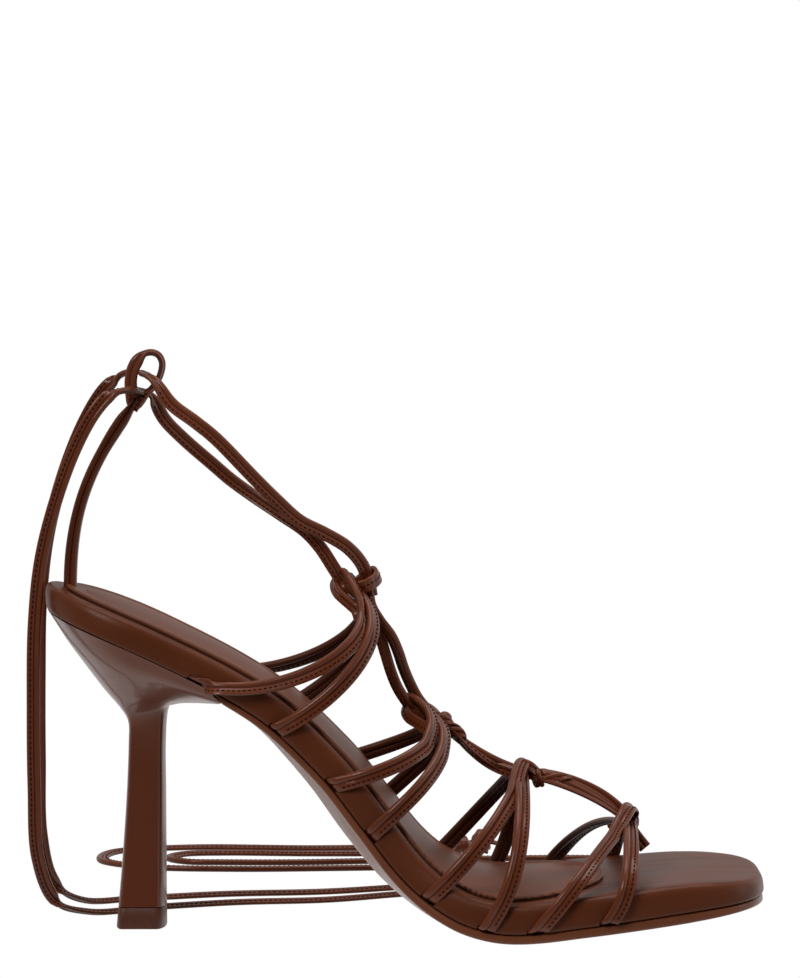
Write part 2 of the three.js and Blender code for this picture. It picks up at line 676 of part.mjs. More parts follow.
// A short cut end of strap sticking out of a knot
function stub(start, end, outward) {
  const middle = start.clone().lerp(end, 0.5);
  return solid(sweep([start, middle, end], [outward, outward, outward], strapSection(1)));
}

// Spine cords between the knots
const SPINE_STEPS = 6;

function spineCord(row) {
  const start = knotPoint(row.from);
  const end = knotPoint(row.to);
  const line = end.clone().sub(start);
  const over = new THREE.Vector3(-line.z, 0, line.x).normalize();
  const flat = arch(start, end, row, SPINE_STEPS, (u) => u);
  const lean = LATERAL.clone().multiplyScalar(-0.6).add(over).normalize();
  const sideways = (u) => STRAP_WIDTH * (u < 0.5
    ? mix(row.start, row.middle, THREE.MathUtils.smoothstep(u, 0, 0.5))
    : mix(row.middle, row.end, THREE.MathUtils.smoothstep(u, 0.5, 1)));
  const points = flat.map((point, i) => point.clone().setY(sideways(i / SPINE_STEPS)));
  return solid(sweep(points, points.map(() => lean), strapSection(1)));
}

// The loop of the heel strap and what passes through it
const rootX = HEEL_STRAP_SETBACK - HALF;
const strapTop = new THREE.Vector3(rootX + HEEL_STRAP_LEAN, 0,
  lastHeight(rootX) + HEEL_STRAP_HEIGHT - FOOTBED_THICKNESS * 0.5);
const loopTilt = rad(71);
const loopAxis = new THREE.Vector3(Math.cos(loopTilt), 0, Math.sin(loopTilt));
const loopAcross = new THREE.Vector3(Math.sin(loopTilt), 0, -Math.cos(loopTilt));
const loopCentre = strapTop.clone().addScaledVector(loopAxis, LOOP_LENGTH / 2 - LOOP_STRAND / 2);

const heelSection = (thick) => [
  [STRAP_WIDTH / 2, 0], [STRAP_WIDTH / 4, thick / 2], [-STRAP_WIDTH / 4, thick / 2],
  [-STRAP_WIDTH / 2, 0], [-STRAP_WIDTH / 4, -thick / 2], [STRAP_WIDTH / 4, -thick / 2],
];

function heelStrapPoints(depth) {
  const root = new THREE.Vector3(rootX, 0, lastHeight(rootX) + FOOTBED_THICKNESS - depth);
  const low = root.clone().add(new THREE.Vector3(-HEEL_STRAP_LEAN * 0.055, 0,
    depth + HEEL_STRAP_HEIGHT * 0.36));
  const high = strapTop.clone().add(new THREE.Vector3(-HEEL_STRAP_LEAN * 0.66, 0,
    -HEEL_STRAP_HEIGHT * 0.265));
  const curve = new THREE.CubicBezierCurve3(root, low, high, strapTop);
  return Array.from({ length: 12 }, (_, i) => curve.getPoint(i / 11));
}

function heelStrapShape() {
  const points = heelStrapPoints(HEEL_STRAP_ROOT);
  const back = new THREE.Vector3(-1, 0, 0);
  const strand = solid(sweep(points, points.map(() => back), heelSection(HEEL_STRAP_THICKNESS)));
  const around = [];
  const outwards = [];
  const steps = 16;
  for (let i = 0; i < steps; i += 1) {
    const angle = (2 * Math.PI * i) / steps;
    const long = (LOOP_LENGTH - LOOP_STRAND) / 2;
    const wide = (LOOP_WIDTH - LOOP_STRAND + 2) / 2;
    outwards.push(loopAxis.clone().multiplyScalar(Math.cos(angle))
      .addScaledVector(loopAcross, Math.sin(angle)));
    around.push(loopCentre.clone().addScaledVector(loopAxis, long * Math.cos(angle))
      .addScaledVector(loopAcross, wide * Math.sin(angle)));
  }
  return strand.add(solid(sweep(around, outwards, heelSection(LOOP_STRAND), true)));
}

// The heel strap's root stands in a slot of the footbed, and the liner is notched round it
function rootPocket(behind) {
  const half = STRAP_WIDTH / 2 + CLEARANCE;
  const thick = HEEL_STRAP_THICKNESS / 2 + CLEARANCE;
  const floor = lastHeight(rootX) + FOOTBED_THICKNESS - HEEL_STRAP_ROOT - CLEARANCE;
  return boxSolid(new THREE.Vector3(rootX - thick - behind, -half, floor),
    new THREE.Vector3(rootX + thick, half, floor + HEEL_STRAP_ROOT * 4));
}

// Two cords from the top knot to the heel loop, one each side of the ankle, through the loop and out
const ANKLE = [
  { side: -1, bow: 9, pass: -0.02, knotX: 2.2, knotZ: 2.4,
    lowAlong: 0.33, lowAcross: 0.02, highAlong: 0.8, highAcross: 0.05 },
  { side: 1, bow: 9, pass: -0.25, knotX: -3.4, knotZ: 1.6,
    lowAlong: 0.35, lowAcross: -0.06, highAlong: 0.75, highAcross: 0.09 },
];
const ANKLE_STEPS = 11;

function ankleCord(row) {
  const through = loopCentre.clone().addScaledVector(loopAxis, row.pass * LOOP_LENGTH);
  const knot = knotPoint('top').add(new THREE.Vector3(row.knotX, 0, row.knotZ));
  const near = through.clone().add(new THREE.Vector3(3.2, 0, -1.6)).setY(row.side * (STRAP_WIDTH + 0.4));
  const flat = arch(near, knot, row, ANKLE_STEPS, (u) => u);
  const body = flat.map((point, i) => {
    const u = i / ANKLE_STEPS;
    return point.clone().setY(row.side * (near.y * row.side * (1 - u) ** 2 + row.bow * Math.sin(Math.PI * u)));
  });
  const leave = through.clone().add(new THREE.Vector3(-2.2, 0, 0.6)).setY(-row.side * (STRAP_WIDTH + 0.2));
  const points = [leave, through.clone().setY(-row.side * 1.6), through.clone().setY(row.side * 1.8), ...body];
  const over = new THREE.Vector3(0.6, row.side * 0.8, 0.75).normalize();
  const inLoop = new THREE.Vector3(0.35, 0, 0.94);
  return { points, outwards: points.map((_, i) => (i < 3 ? inLoop : over)), end: leave };
}

const cordSection = [[1.9, 0], [1.1, 1.25], [-1.1, 1.25], [-1.9, 0], [-1.1, -1.25], [1.1, -1.25]];

function upperShape() {
  const parts = runs.map((run) => solid(sweep(run.points, run.outwards,
    strapSection(run.pocket.lateral.y < 0 ? 1 : -1))));
  Object.keys(KNOTS).forEach((name) => parts.push(knotSolid(name)));
  SPINE.forEach((row) => parts.push(spineCord(row)));
  ANKLE.forEach((row) => {
    const cord = ankleCord(row);
    parts.push(solid(sweep(cord.points, cord.outwards, cordSection)));
  });
  const toe = knotPoint('toe');
  [-1, 1].forEach((side) => parts.push(stub(toe.clone(),
    toe.clone().add(new THREE.Vector3(5.5, side * 2.4, -5)), new THREE.Vector3(0.6, 0, 0.8))));
  const top = knotPoint('top');
  parts.push(stub(top.clone(), top.clone().add(new THREE.Vector3(5.6, -1.5, 2.6)), new THREE.Vector3(0, -1, 0.3)));
  return parts.reduce((whole, part) => whole.add(part));
}

// The two ties: from where the cords leave the heel loop they drop behind the heel
// and lie uncoiled on the floor behind the shoe
const ROUTES = {
  tie_inner: [
    [-87, 10.6, 169], [-92.6, 13, 164], [-98.3, 13.4, 154.6], [-104.6, 13.2, 139], [-109.6, 12.6, 120],
    [-112, 12, 100], [-112.6, 12, 76], [-112.7, 12.4, 50], [-112.4, 14, 26], [-109, 20, 10.5],
    [-100, 29, 3.4], [-84, 41, 2], [-56, 50, 2], [-24, 55, 2], [8, 68, 2], [40, 78, 2], [68, 84, 2],
    [82, 97, 2], [74, 111, 2], [50, 116, 2], [16, 112, 2], [-20, 108, 2], [-56, 106, 2], [-84, 110, 2],
    [-100, 124, 2], [-97, 144, 2], [-72, 154, 2], [-30, 152, 2], [2, 155.6, 2], [22, 157, 2.6],
  ],
  tie_outer: [
    [-88, -10.4, 164.6], [-93.2, -12, 159], [-99, -12.2, 148.6], [-105, -11.8, 133], [-110, -11, 114],
    [-112.2, -10.4, 94], [-112.7, -10, 68], [-112.6, -9.4, 44], [-111.8, -7, 22], [-107, -1, 8],
    [-96.5, 9, 2.8], [-78, 23, 2], [-52, 33, 2], [-24, 38, 2], [4, 52, 2], [34, 62, 2], [64, 64, 2],
    [90, 74, 2], [101, 96, 2], [92, 118, 2], [68, 130, 2], [34, 130, 2], [-4, 125, 2], [-36, 121, 2],
    [-60, 121, 2], [-72, 122.4, 2], [-78, 130, 2], [-73, 138.6, 2], [-60, 140.8, 2], [-32, 139, 2],
    [-4, 140, 2], [16, 141, 2.6],
  ],
};
const LEAVES = { tie_inner: ankleCord(ANKLE[0]), tie_outer: ankleCord(ANKLE[1]) };

function tiePoints(name) {
  const { points, end } = LEAVES[name];
  const leaving = end.clone().sub(points[1]).normalize();
  const start = end.clone().addScaledVector(leaving, CLEARANCE);
  const next = start.clone().addScaledVector(leaving, TIE_DIAMETER * 0.6);
  return [start, next, ...ROUTES[name].map((point) => new THREE.Vector3(...point))];
}

function tieShape(name) {
  const corner = (_, k) => new THREE.Vector2(Math.cos(2 * Math.PI * k / TIE_SIDES),
    Math.sin(2 * Math.PI * k / TIE_SIDES)).multiplyScalar(TIE_DIAMETER / 2);
  const section = new THREE.Shape(Array.from({ length: TIE_SIDES }, corner));
  const extrudePath = new THREE.CatmullRomCurve3(tiePoints(name));
  const tube = new THREE.ExtrudeGeometry(section, { steps: TIE_STEPS, extrudePath });
  tube.deleteAttribute('normal');
  tube.deleteAttribute('uv');
  return solid(mergeVertices(tube, 1e-4));
}

function tieKnotShape(name) {
  const route = tiePoints(name);
  const end = route[route.length - 1];
  const ahead = new THREE.Vector3(1, 0, 0);
  const half = TIE_KNOT / 2;
  const centre = end.clone().setZ(half + CLEARANCE).addScaledVector(ahead, half + 2 * CLEARANCE);
  const tailEnd = centre.clone().addScaledVector(ahead, half * 0.9 + TIE_TAIL).setZ(TIE_DIAMETER / 2 + 0.3);
  const tail = [centre, centre.clone().lerp(tailEnd, 0.5), tailEnd];
  const up = new THREE.Vector3(0, 0, 1);
  return lump(centre, half * 0.95, half * 0.9, half * 0.95, 0)
    .add(ringAround(centre, ahead, half - 1.4, half - 1.2, wrapSection, 8))
    .add(solid(sweep(tail, tail.map(() => up), cordSection)));
}

// Cut bodies
const floorBlock = boxSolid(new THREE.Vector3(-LENGTH, -LENGTH, -20), new THREE.Vector3(LENGTH, LENGTH, 0));
const withPockets = (body) => pockets.reduce((rest, pocket) => rest.subtract(pocket), body);

const leather = new THREE.MeshStandardMaterial({ color: '#5f3022', roughness: 0.42, metalness: 0 });
const bedLeather = new THREE.MeshStandardMaterial({ color: '#54291d', roughness: 0.4, metalness: 0 });
const linerLeather = new THREE.MeshStandardMaterial({ color: '#5c3227', roughness: 0.45, metalness: 0 });
const gloss = new THREE.MeshStandardMaterial({ color: '#46221a', roughness: 0.15, metalness: 0 });
const rubber = new THREE.MeshStandardMaterial({ color: '#50301f', roughness: 0.6, metalness: 0 });

const shoe = new THREE.Group();

function add(name, geometry, material) {
  const mesh = new THREE.Mesh(geometry, material);
  mesh.name = name;
  shoe.add(mesh);
  return mesh;
}

add('footbed', surface(withPockets(solid(footbedShape())).subtract(rootPocket(0))), bedLeather);
add('outsole', surface(withPockets(solid(outsoleShape())).subtract(floorBlock)), rubber);
add('sock_liner', surface(solid(linerShape()).subtract(rootPocket(LINER_SETBACK))), linerLeather);
add('heel', surface(withPockets(solid(heelShape()))), gloss);
add('top_lift', surface(solid(liftShape())), rubber);
add('upper', surface(upperShape()), leather);
add('heel_strap', surface(heelStrapShape()), leather);

// The origin stands under the middle of the shoe without its ties, on the floor
const box = new THREE.Box3().setFromObject(shoe);

Object.keys(ROUTES).forEach((name) => {
  add(name, surface(tieShape(name)), leather);
  add(name.replace('tie', 'tie_knot'), surface(tieKnotShape(name)), leather);
});

const middle = box.getCenter(new THREE.Vector3());
shoe.position.set(-middle.x, -middle.y, -box.min.z);

export default shoe;
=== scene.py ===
"""A lace up heeled sandal for a right foot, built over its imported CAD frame.

Lengths are in millimetres in the part's own frame (+X from heel to toe, +Z up, the outer side
towards -Y) until place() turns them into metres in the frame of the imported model.
"""
import math

import bmesh
import bpy
import numpy as np
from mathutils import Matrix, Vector


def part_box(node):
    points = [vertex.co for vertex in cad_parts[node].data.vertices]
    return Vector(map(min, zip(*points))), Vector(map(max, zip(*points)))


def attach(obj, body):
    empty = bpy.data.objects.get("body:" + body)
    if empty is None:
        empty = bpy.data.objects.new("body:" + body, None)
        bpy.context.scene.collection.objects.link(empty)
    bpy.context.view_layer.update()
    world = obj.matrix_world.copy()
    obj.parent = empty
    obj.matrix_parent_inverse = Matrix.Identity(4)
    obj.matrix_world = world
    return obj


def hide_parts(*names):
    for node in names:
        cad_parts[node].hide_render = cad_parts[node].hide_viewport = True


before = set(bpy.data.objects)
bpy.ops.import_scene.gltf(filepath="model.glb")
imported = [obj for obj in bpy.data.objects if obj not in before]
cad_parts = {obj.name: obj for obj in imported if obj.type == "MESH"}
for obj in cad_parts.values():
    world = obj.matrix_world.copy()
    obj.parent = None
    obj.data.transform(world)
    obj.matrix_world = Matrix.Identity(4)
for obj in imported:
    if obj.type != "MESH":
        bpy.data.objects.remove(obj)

bl_info = {
    "name": "Lace Up Heeled Sandal",
    "version": (1, 0, 0),
    "blender": (4, 5, 0),
    "location": "View3D > Sidebar > Sandal",
    "description": "Builds a strappy high heeled sandal over its packed frame",
    "category": "Object",
}

# Sizes of the last, as in the part's source
LENGTH = 219.0
TOE_REACH = 0.9
HEEL_HEIGHT = 95.0
BALL_WIDTH = 85.0
INSTEP = 48.0
HALF = LENGTH / 2

# Footbed, sock liner and outsole
FOOTBED_THICKNESS = 8.5
LINER_THICKNESS = 1.1
LINER_CROWN = 1.2
LINER_LENGTH = 166.0
LINER_SETBACK = 6.0
LINER_MARGIN = 4.6
OUTSOLE_THICKNESS = 3.7
OUTSOLE_FLAT = 0.35
OUTSOLE_MARGIN = 0.7
CLEARANCE = 0.3
BALL_LIFT = OUTSOLE_THICKNESS - OUTSOLE_FLAT
SEAT_UPRIGHT = 25.0

# Heel and its top lift
SEAT_LENGTH = 55.3
BREAST_SLANT = 3.8
PIN_SETBACK = 24.4
NECK_LENGTH = 11.3
NECK_WIDTH = 13.0
NECK_HEIGHT = 57.0
TIP_LENGTH = 15.4
TIP_WIDTH = 18.0
TIP_SETBACK = 21.4
LIFT_HEIGHT = 6.5
SEAT_GAP = -0.06
SEAT_BACK = 0.7
SEAT_MARGIN = 0.8
SEAT_ROUND = 26
BREAST = SEAT_LENGTH - HALF

# Straps and knots
STRAP_WIDTH = 4.8
BEAD = 3.0
PIPING = 2.3
PIPING_HEIGHT = 2.3
FLANGE = 1.25
STRAP_SHOULDER = 9.5
STRAP_BEND = 1.6
STRAP_TUCK = 3.6
TUCK_SLANT = 0.4
KNOT = 5.0
FOOT_POWER = 2.1
BEAD_SIDE = STRAP_WIDTH / 2 - PIPING / 2
STITCH_SIDE = 1.25
SPINE_SCALE = 0.8
SLIM_SCALE = 0.85
ANKLE_SCALE = 0.92
LOOP_SCALE = 0.92

# Finishes of a strap, in the order of the marks that its section gives: calf, painted shade in the crease,
# and lining darkened as painted shade
STRAP_SKINS = ("wrapped_calf", "crease_painted_shade", "lining_and_painted_shade")

# Rings of one stitch: place as a share of its length, size and height as shares of the thread's radius
STITCH_RINGS = np.array((
    (0.0, 0.3, -0.7), (0.12, 0.85, 0.0), (0.5, 1.0, 0.3), (0.88, 0.85, 0.0), (1.0, 0.3, -0.7),
))
STITCH_SIDES = 6

# Cores of the knots: half sizes along, deep and wide as shares of the knot's own, and how far they sink
CORE = (0.72, 0.68, 0.72)
CORE_SINK = 0.8

# Heel strap and its loop
HEEL_STRAP_SETBACK = 7.6
HEEL_STRAP_HEIGHT = 70.5
HEEL_STRAP_LEAN = 20.1
HEEL_STRAP_THICKNESS = 3.8
HEEL_STRAP_ROOT = 5.0
LOOP_LENGTH = 17.5
LOOP_STRAND = 2.6
LOOP_TILT = math.radians(71)

# Ties
TIE_DIAMETER = 3.6
TIE_KNOT = 7.6
TIE_TAIL = 5.0
TIE_SCALE = 0.88

# Share of LENGTH, rise above the ball as a share of HEEL_HEIGHT
PROFILE = (
    (0.0, 1.0), (0.153, 0.851), (0.299, 0.667), (0.388, 0.48), (0.445, 0.318), (0.495, 0.175),
    (0.541, 0.083), (0.591, 0.023), (0.651, 0.0), (0.751, 0.023), (0.865, 0.054), (1.0, 0.094),
)

# Share of LENGTH, half widths of the outer and inner side as shares of BALL_WIDTH
WIDTHS = (
    (0.0, 0.318, 0.318), (0.146, 0.325, 0.321), (0.226, 0.319, 0.308), (0.299, 0.31, 0.294),
    (0.397, 0.335, 0.306), (0.495, 0.405, 0.37), (0.578, 0.468, 0.445), (0.69, 0.5, 0.5),
    (0.774, 0.484, 0.494), (0.886, 0.428, 0.445), (1.0, 0.365, 0.385),
)

# Share of LENGTH, then the footbed as a share of FOOTBED_THICKNESS, and the outsole's edge and belly
# as shares of OUTSOLE_THICKNESS
THICKNESS = (
    (0.0, 1.0, 0.55, 0.0), (0.25, 1.0, 0.55, 0.15), (0.36, 1.0, 0.6, 0.95), (0.45, 1.0, 0.68, 1.35),
    (0.53, 1.0, 0.76, 0.9), (0.6, 1.08, 0.78, 0.4), (0.66, 1.12, 0.78, 0.22), (0.8, 1.06, 0.85, 0.12),
    (0.9, 1.0, 0.85, 0.05), (1.0, 0.66, 0.6, 0.0),
)

# Knots: share of LENGTH, rise as a share of INSTEP, size along, deep and wide as shares of KNOT
KNOTS = {
    "top": (0.306, 0.994, 1.1, 0.75, 0.95),
    "instep": (0.416, 0.765, 1.75, 0.72, 0.95),
    "ball": (0.684, 0.912, 0.85, 0.6, 0.9),
    "toe": (0.83, 0.505, 0.72, 0.6, 0.8),
}

# Straps: slot as a share of LENGTH, knot, handles along and across at the low and the high end
STRAPS = (
    (0.235, "top", 0.22, -0.25, 1.05, -0.42),
    (0.324, "top", 0.28, -0.2, 0.95, -0.43),
    (0.4, "instep", 0.3, -0.07, 0.95, -0.22),
    (0.452, "instep", 0.3, -0.06, 0.95, -0.34),
    (0.532, "ball", 0.33, -0.03, 0.7, -0.04),
    (0.614, "ball", 0.33, -0.13, 0.7, -0.08),
    (0.687, "toe", 0.33, 0.04, 0.8, 0.16),
    (0.785, "toe", 0.3, -0.14, 0.75, -0.02),
)

# Cords between the three front knots: from, to, four handles, three side shifts as shares of
# STRAP_WIDTH, and the turn of the strap's face in degrees
SPINE = (
    ("instep", "ball", 0.3, -0.06, 0.75, -0.1, -0.35, -0.3, 0.3, 160),
    ("instep", "ball", 0.3, -0.12, 0.75, -0.16, 0.35, 0.3, -0.3, 160),
    ("ball", "toe", 0.2, 0.13, 0.75, 0.2, 0.2, 0.3, 0.2, 80),
    ("ball", "toe", 0.25, 0.09, 0.7, 0.1, -0.2, -0.35, -0.2, -50),
)

# Rings of the heel's flare: back, its height, front, its height, as shares of SEAT_LENGTH and of the
# heel's height, and the spread from the pin's outline to the seat's
FLARE = (
    (0.115, 0.908, 0.99, 0.722, 0.9), (0.22, 0.826, 0.93, 0.716, 0.7), (0.325, 0.747, 0.845, 0.712, 0.44),
    (0.41, 0.69, 0.75, 0.706, 0.2), (0.455, 0.645, 0.68, 0.686, 0.04),
)

# Ankle cords: side of the foot, and where each passes the heel loop as a share of the loop's length
ANKLE = ((-1, 0.06), (1, -0.25))

# Routes of the two ties, from just behind the loop to their ends on the floor
ROUTES = {
    "tie_inner": (
        (-87, 10.6, 169), (-92.6, 13, 164), (-98.3, 13.4, 154.6), (-104.6, 13.2, 139),
        (-109.6, 12.6, 120), (-112, 12, 100), (-112.6, 12, 76), (-112.7, 12.4, 50), (-112.4, 14, 26),
        (-109, 20, 10.5), (-100, 29, 3.4), (-84, 41, 2), (-56, 50, 2), (-24, 55, 2), (8, 68, 2),
        (40, 78, 2), (68, 84, 2), (82, 97, 2), (74, 111, 2), (50, 116, 2), (16, 112, 2), (-20, 108, 2),
        (-56, 106, 2), (-84, 110, 2), (-100, 124, 2), (-97, 144, 2), (-72, 154, 2), (-30, 152, 2),
        (2, 155.6, 2), (22, 157, 2.6),
    ),
    "tie_outer": (
        (-88, -10.4, 164.6), (-93.2, -12, 159), (-99, -12.2, 148.6), (-105, -11.8, 133),
        (-110, -11, 114), (-112.2, -10.4, 94), (-112.7, -10, 68), (-112.6, -9.4, 44), (-111.8, -7, 22),
        (-107, -1, 8), (-96.5, 9, 2.8), (-78, 23, 2), (-52, 33, 2), (-24, 38, 2), (4, 52, 2),
        (34, 62, 2), (64, 64, 2), (90, 74, 2), (101, 96, 2), (92, 118, 2), (68, 130, 2), (34, 130, 2),
        (-4, 125, 2), (-36, 121, 2), (-60, 121, 2), (-72, 122.4, 2), (-78, 130, 2), (-73, 138.6, 2),
        (-60, 140.8, 2), (-32, 139, 2), (-4, 140, 2), (16, 141, 2.6),
    ),
}

# Straps drawn round the knots: scale, the knot's middle, and the strap's own points
WRAPS = {
    "top_band": (0.78, (-16.4, 5, 103), (
        (-19.4, 2.2, 107.4), (-20.8, 1.4, 106.3), (-21, -0.5, 104.8),
        (-20, -3.5, 102.9), (-18.1, -6, 101.3), (-15.9, -8, 99.6), (-14.1, -9.5, 97.9),
        (-13.2, -10, 95.2))),
    "top_ring": (0.85, (-11, 0, 106.6), (
        (-14.2, -1, 104.2), (-12.6, -4, 104.6), (-10.5, -4.6, 105.6), (-8.6, -3, 106.7),
        (-7.7, -0.5, 107.8), (-8.4, 2, 108.9), (-9.9, 4, 108.4), (-12.1, 4.4, 106.8),
        (-13.9, 2, 105.2), (-14.2, -1, 104.2), (-12.6, -4, 104.6))),
    "instep_left": (0.8, (5.2, 4, 65.8), (
        (3.3, 2, 68.5), (1.5, 1, 67.9), (0.8, -1.5, 66.4), (1.8, -4, 64.8), (3.6, -6, 63.8),
        (5.7, -8, 62.8), (7.8, -10, 61.5))),
    "instep_low": (0.6, (7.6, 2, 62.6), (
        (4.2, 1, 63), (5.3, -2, 61.5), (6.7, -4, 60.2), (8.5, -6, 60), (10.3, -7, 60.6))),
    "ball_side": (0.7, (39, 2, 44.6), (
        (36.4, -2, 50.4), (37.9, -3.4, 50.1), (39.5, -3.4, 49.1), (41, -2.2, 47.6))),
    "ball_ring": (0.6, (41.1, 0, 45.8), (
        (39.9, 0.5, 48.5), (40.4, -2.6, 47.7), (41.3, -3.2, 45.6), (42, -1, 43.3), (41.4, 1.4, 43.5),
        (40.6, 3, 45.7), (39.6, 2.4, 48), (39.9, 0.5, 48.5), (40.4, -2.6, 47.7))),
}

# Strands twisted round each other beside a knot: scale, radius, turns, start and end
TWISTS = (
    (0.66, 1.05, 1.0, (9.1, -2.6, 66.2), (19.3, -1, 58)),
    (0.62, 0.95, 0.5, (40.5, -0.6, 45.9), (51.8, -0.4, 45.3)),
)

# Wraps that show the flat back of the strap, and how far from their middle they are sewn
FLAT_WRAPS = {"top_ring": 0.2, "instep_left": -0.3}

# How far each strap's face turns up and forward, at its low end and at its knot
LEANS = ((1.6, 2.2), (0.7, 1.8), (0.2, 2.2), (0.05, 1.9), (0.0, 0.7), (0.0, 0.7), (0.0, 0.5), (0.0, 0.8))

# Outer straps that turn over their knot: strap row, the knot's middle, and the turning points
OVERS = {
    0: ((-16.7, 2, 102.7), (
        (-12.4, -12.5, 96), (-12.3, -10.8, 98.9), (-12.9, -9.2, 101.5), (-14.1, -7.5, 104.1),
        (-15.5, -5.5, 106.7), (-16.6, -3, 108.5), (-17.7, 0.5, 109.1), (-18.7, 2.6, 108))),
    2: ((5.1, 2, 64.4), (
        (8.2, -18, 60.9), (9, -15, 63), (8.9, -11, 65.3), (7.9, -8, 67.4), (5.9, -4.6, 69),
        (3.9, -1, 70.2), (2.7, 2, 70.2))),
    3: ((10.1, 2, 60.1), (
        (12.7, -14.5, 58.7), (12.7, -11.5, 60.8), (12, -8.6, 62.7), (10.6, -6, 64.6), (9.3, -3, 65.9),
        (8.2, 0.5, 66.2))),
    4: ((38.1, 1, 45.1), (
        (34.4, -15, 46.2), (35.1, -10.4, 48.4), (35.9, -6, 50), (36.9, -2, 50.8), (38.2, 1.4, 50),
        (39.3, 3.6, 47.8), (40, 4, 45.6))),
    6: ((69.1, 1, 31.8), (
        (65.1, -13.5, 31.6), (66.6, -10, 33.7), (68.2, -6.5, 35.9), (69.3, -3, 37), (70.3, 0.4, 36.3),
        (71.4, 2.6, 34.5), (71.9, 2.6, 32.5), (71.2, 1, 30.7), (70, -1, 29.9))),
}

# Bunched leather inside the knots: middle and half sizes
FILLS = (
    ((3.9, 0.5, 65.8), (4.2, 3.2, 2.6)),
    ((13.1, 0.5, 60.9), (4.6, 2.6, 2.4)),
    ((-17.9, 0.5, 104.1), (2.6, 2.4, 3.2)),
    ((45.7, 0, 45.8), (4.5, 1.7, 2.2)),
    ((13.1, 0, 64.5), (2.0, 1.5, 1.8)),
)

# Cut ends of the toe knot: half width of one ridge, and points
ENDS = {
    "near": (1.0, ((69.4, -1, 31.1), (70.5, -2.8, 29.2), (72.1, -3.6, 27.1), (74.2, -3.8, 24.5))),
    "inner": (0.7, ((67.4, 3, 31.2), (65.3, 5, 30), (63.7, 6, 29.1))),
}

# Ankle cords from the loop down to the top knot
ANKLE_PATHS = (
    ((-70.6, -7, 160.9), (-63.3, -8.6, 155.5), (-57.2, -9.2, 150.6), (-44.8, -8.8, 137.8),
     (-38.4, -8, 131.4), (-31.5, -6.4, 125.1), (-23.9, -4.8, 121.1), (-17.2, -3.2, 116.9),
     (-12.9, -1.4, 111.9), (-10.8, 0, 106.6), (-9.9, 0.6, 101.6)),
    ((-73.2, 7, 155.3), (-67.2, 8.8, 149), (-58, 9, 141), (-53.3, 8.4, 137), (-46.5, 6.6, 132.2),
     (-37.2, 2.6, 126.3), (-30.1, 0.4, 121.6), (-25.5, -0.4, 116.7), (-21.5, -0.6, 110.6),
     (-18.8, -0.4, 106.3), (-16.3, -1, 103)),
)

# The two slim cords between the top knot and the instep knot
SPINE_PATHS = (
    ((-15.7, 1, 103.4), (-12, 1.8, 98.4), (-9.3, 2, 94.1), (-7.4, 1.4, 89.8), (-5.6, 0, 84.1),
     (-3.8, -1.4, 78.4), (-1.9, -2, 73.8), (0.5, -1.6, 69.8), (3.3, 0, 65.9)),
    ((-10.8, 0, 102.9), (-9.9, -1.4, 98.7), (-7.4, -2, 94.4), (-3.8, -1.8, 89.5), (-1.6, -0.4, 84.4),
     (-0.1, 1, 79.7), (1.8, 1.6, 75), (4.2, 1, 70.4), (7, 0, 66.8)),
)

# The heel strap's loop, and the strap's end folded back over its foot
LOOP = (
    (-82.3, 0, 160.5), (-83, 0, 163.9), (-83.2, 0, 167.9), (-82.3, 0, 171.8), (-80.1, 0, 174.9),
    (-77.4, 0, 176.3), (-74.9, 0, 175.5), (-73.7, 0, 173.1), (-74.3, 0, 169.4), (-76.2, 0, 166),
    (-78.6, 0, 163.6), (-81.1, 0, 161.5),
)
LOOP_FOLD = ((-77.8, -0.6, 164.5), (-79.3, -2, 162.9), (-80.7, -3, 161), (-82.1, -3, 158.7))

# The camera that was fitted to the photograph: place, tilt below level and focal length in pixels
CAMERA_PLACE = (-1.0, -1395.0, 225.0)
CAMERA_TILT = 3.7118
FOCAL_PIXELS = 4568.4
FRAME_HEIGHT = 978
SENSOR = 36.0

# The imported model's offset from the part's own frame, found from the top lift
LIFT_LOW, LIFT_HIGH = (np.array(corner) * 1000 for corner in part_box("top_lift"))
OFFSET = np.array((LIFT_LOW[0] - (TIP_SETBACK - HALF), (LIFT_LOW[1] + LIFT_HIGH[1]) / 2, LIFT_LOW[2]))

UP = np.array((0.0, 0.0, 1.0))
LATERAL = np.array((0.0, 1.0, 0.0))


def place(points):
    """Millimetres in the part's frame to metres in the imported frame."""
    return (np.asarray(points, float) + OFFSET) * 0.001


# Curves and the last

def unit(vector):
    """A vector of length one."""
    return vector / max(np.linalg.norm(vector), 1e-9)


def mix(a, b, t):
    """The value between a and b at share t."""
    return a + (b - a) * t


def smoothstep(value, low, high):
    """A soft step from 0 at low to 1 at high."""
    t = np.clip((value - low) / (high - low), 0, 1)
    return t * t * (3 - 2 * t)


def smooth(rows, column):
    """A smooth curve through one column of a table, read by its first column."""
    at = np.array([row[0] for row in rows])
    value = np.array([row[column] for row in rows])
    slope = np.gradient(value, at)
    slope[1:-1] = (value[2:] - value[:-2]) / (at[2:] - at[:-2])

    def curve(t):
        t = np.clip(t, 0, 1)
        i = np.clip(np.searchsorted(at, t) - 1, 0, len(at) - 2)
        span = at[i + 1] - at[i]
        u = (t - at[i]) / span
        return ((2 * u ** 3 - 3 * u ** 2 + 1) * value[i] + (u ** 3 - 2 * u ** 2 + u) * span * slope[i]
                + (3 * u ** 2 - 2 * u ** 3) * value[i + 1] + (u ** 3 - u ** 2) * span * slope[i + 1])

    return curve


rise = smooth(PROFILE, 1)
outer_width = smooth(WIDTHS, 1)
inner_width = smooth(WIDTHS, 2)
bed_share = smooth(THICKNESS, 1)
edge_share = smooth(THICKNESS, 2)
belly_share = smooth(THICKNESS, 3)


def share(x):
    """Place along the foot as a share of LENGTH."""
    return x / LENGTH + 0.5


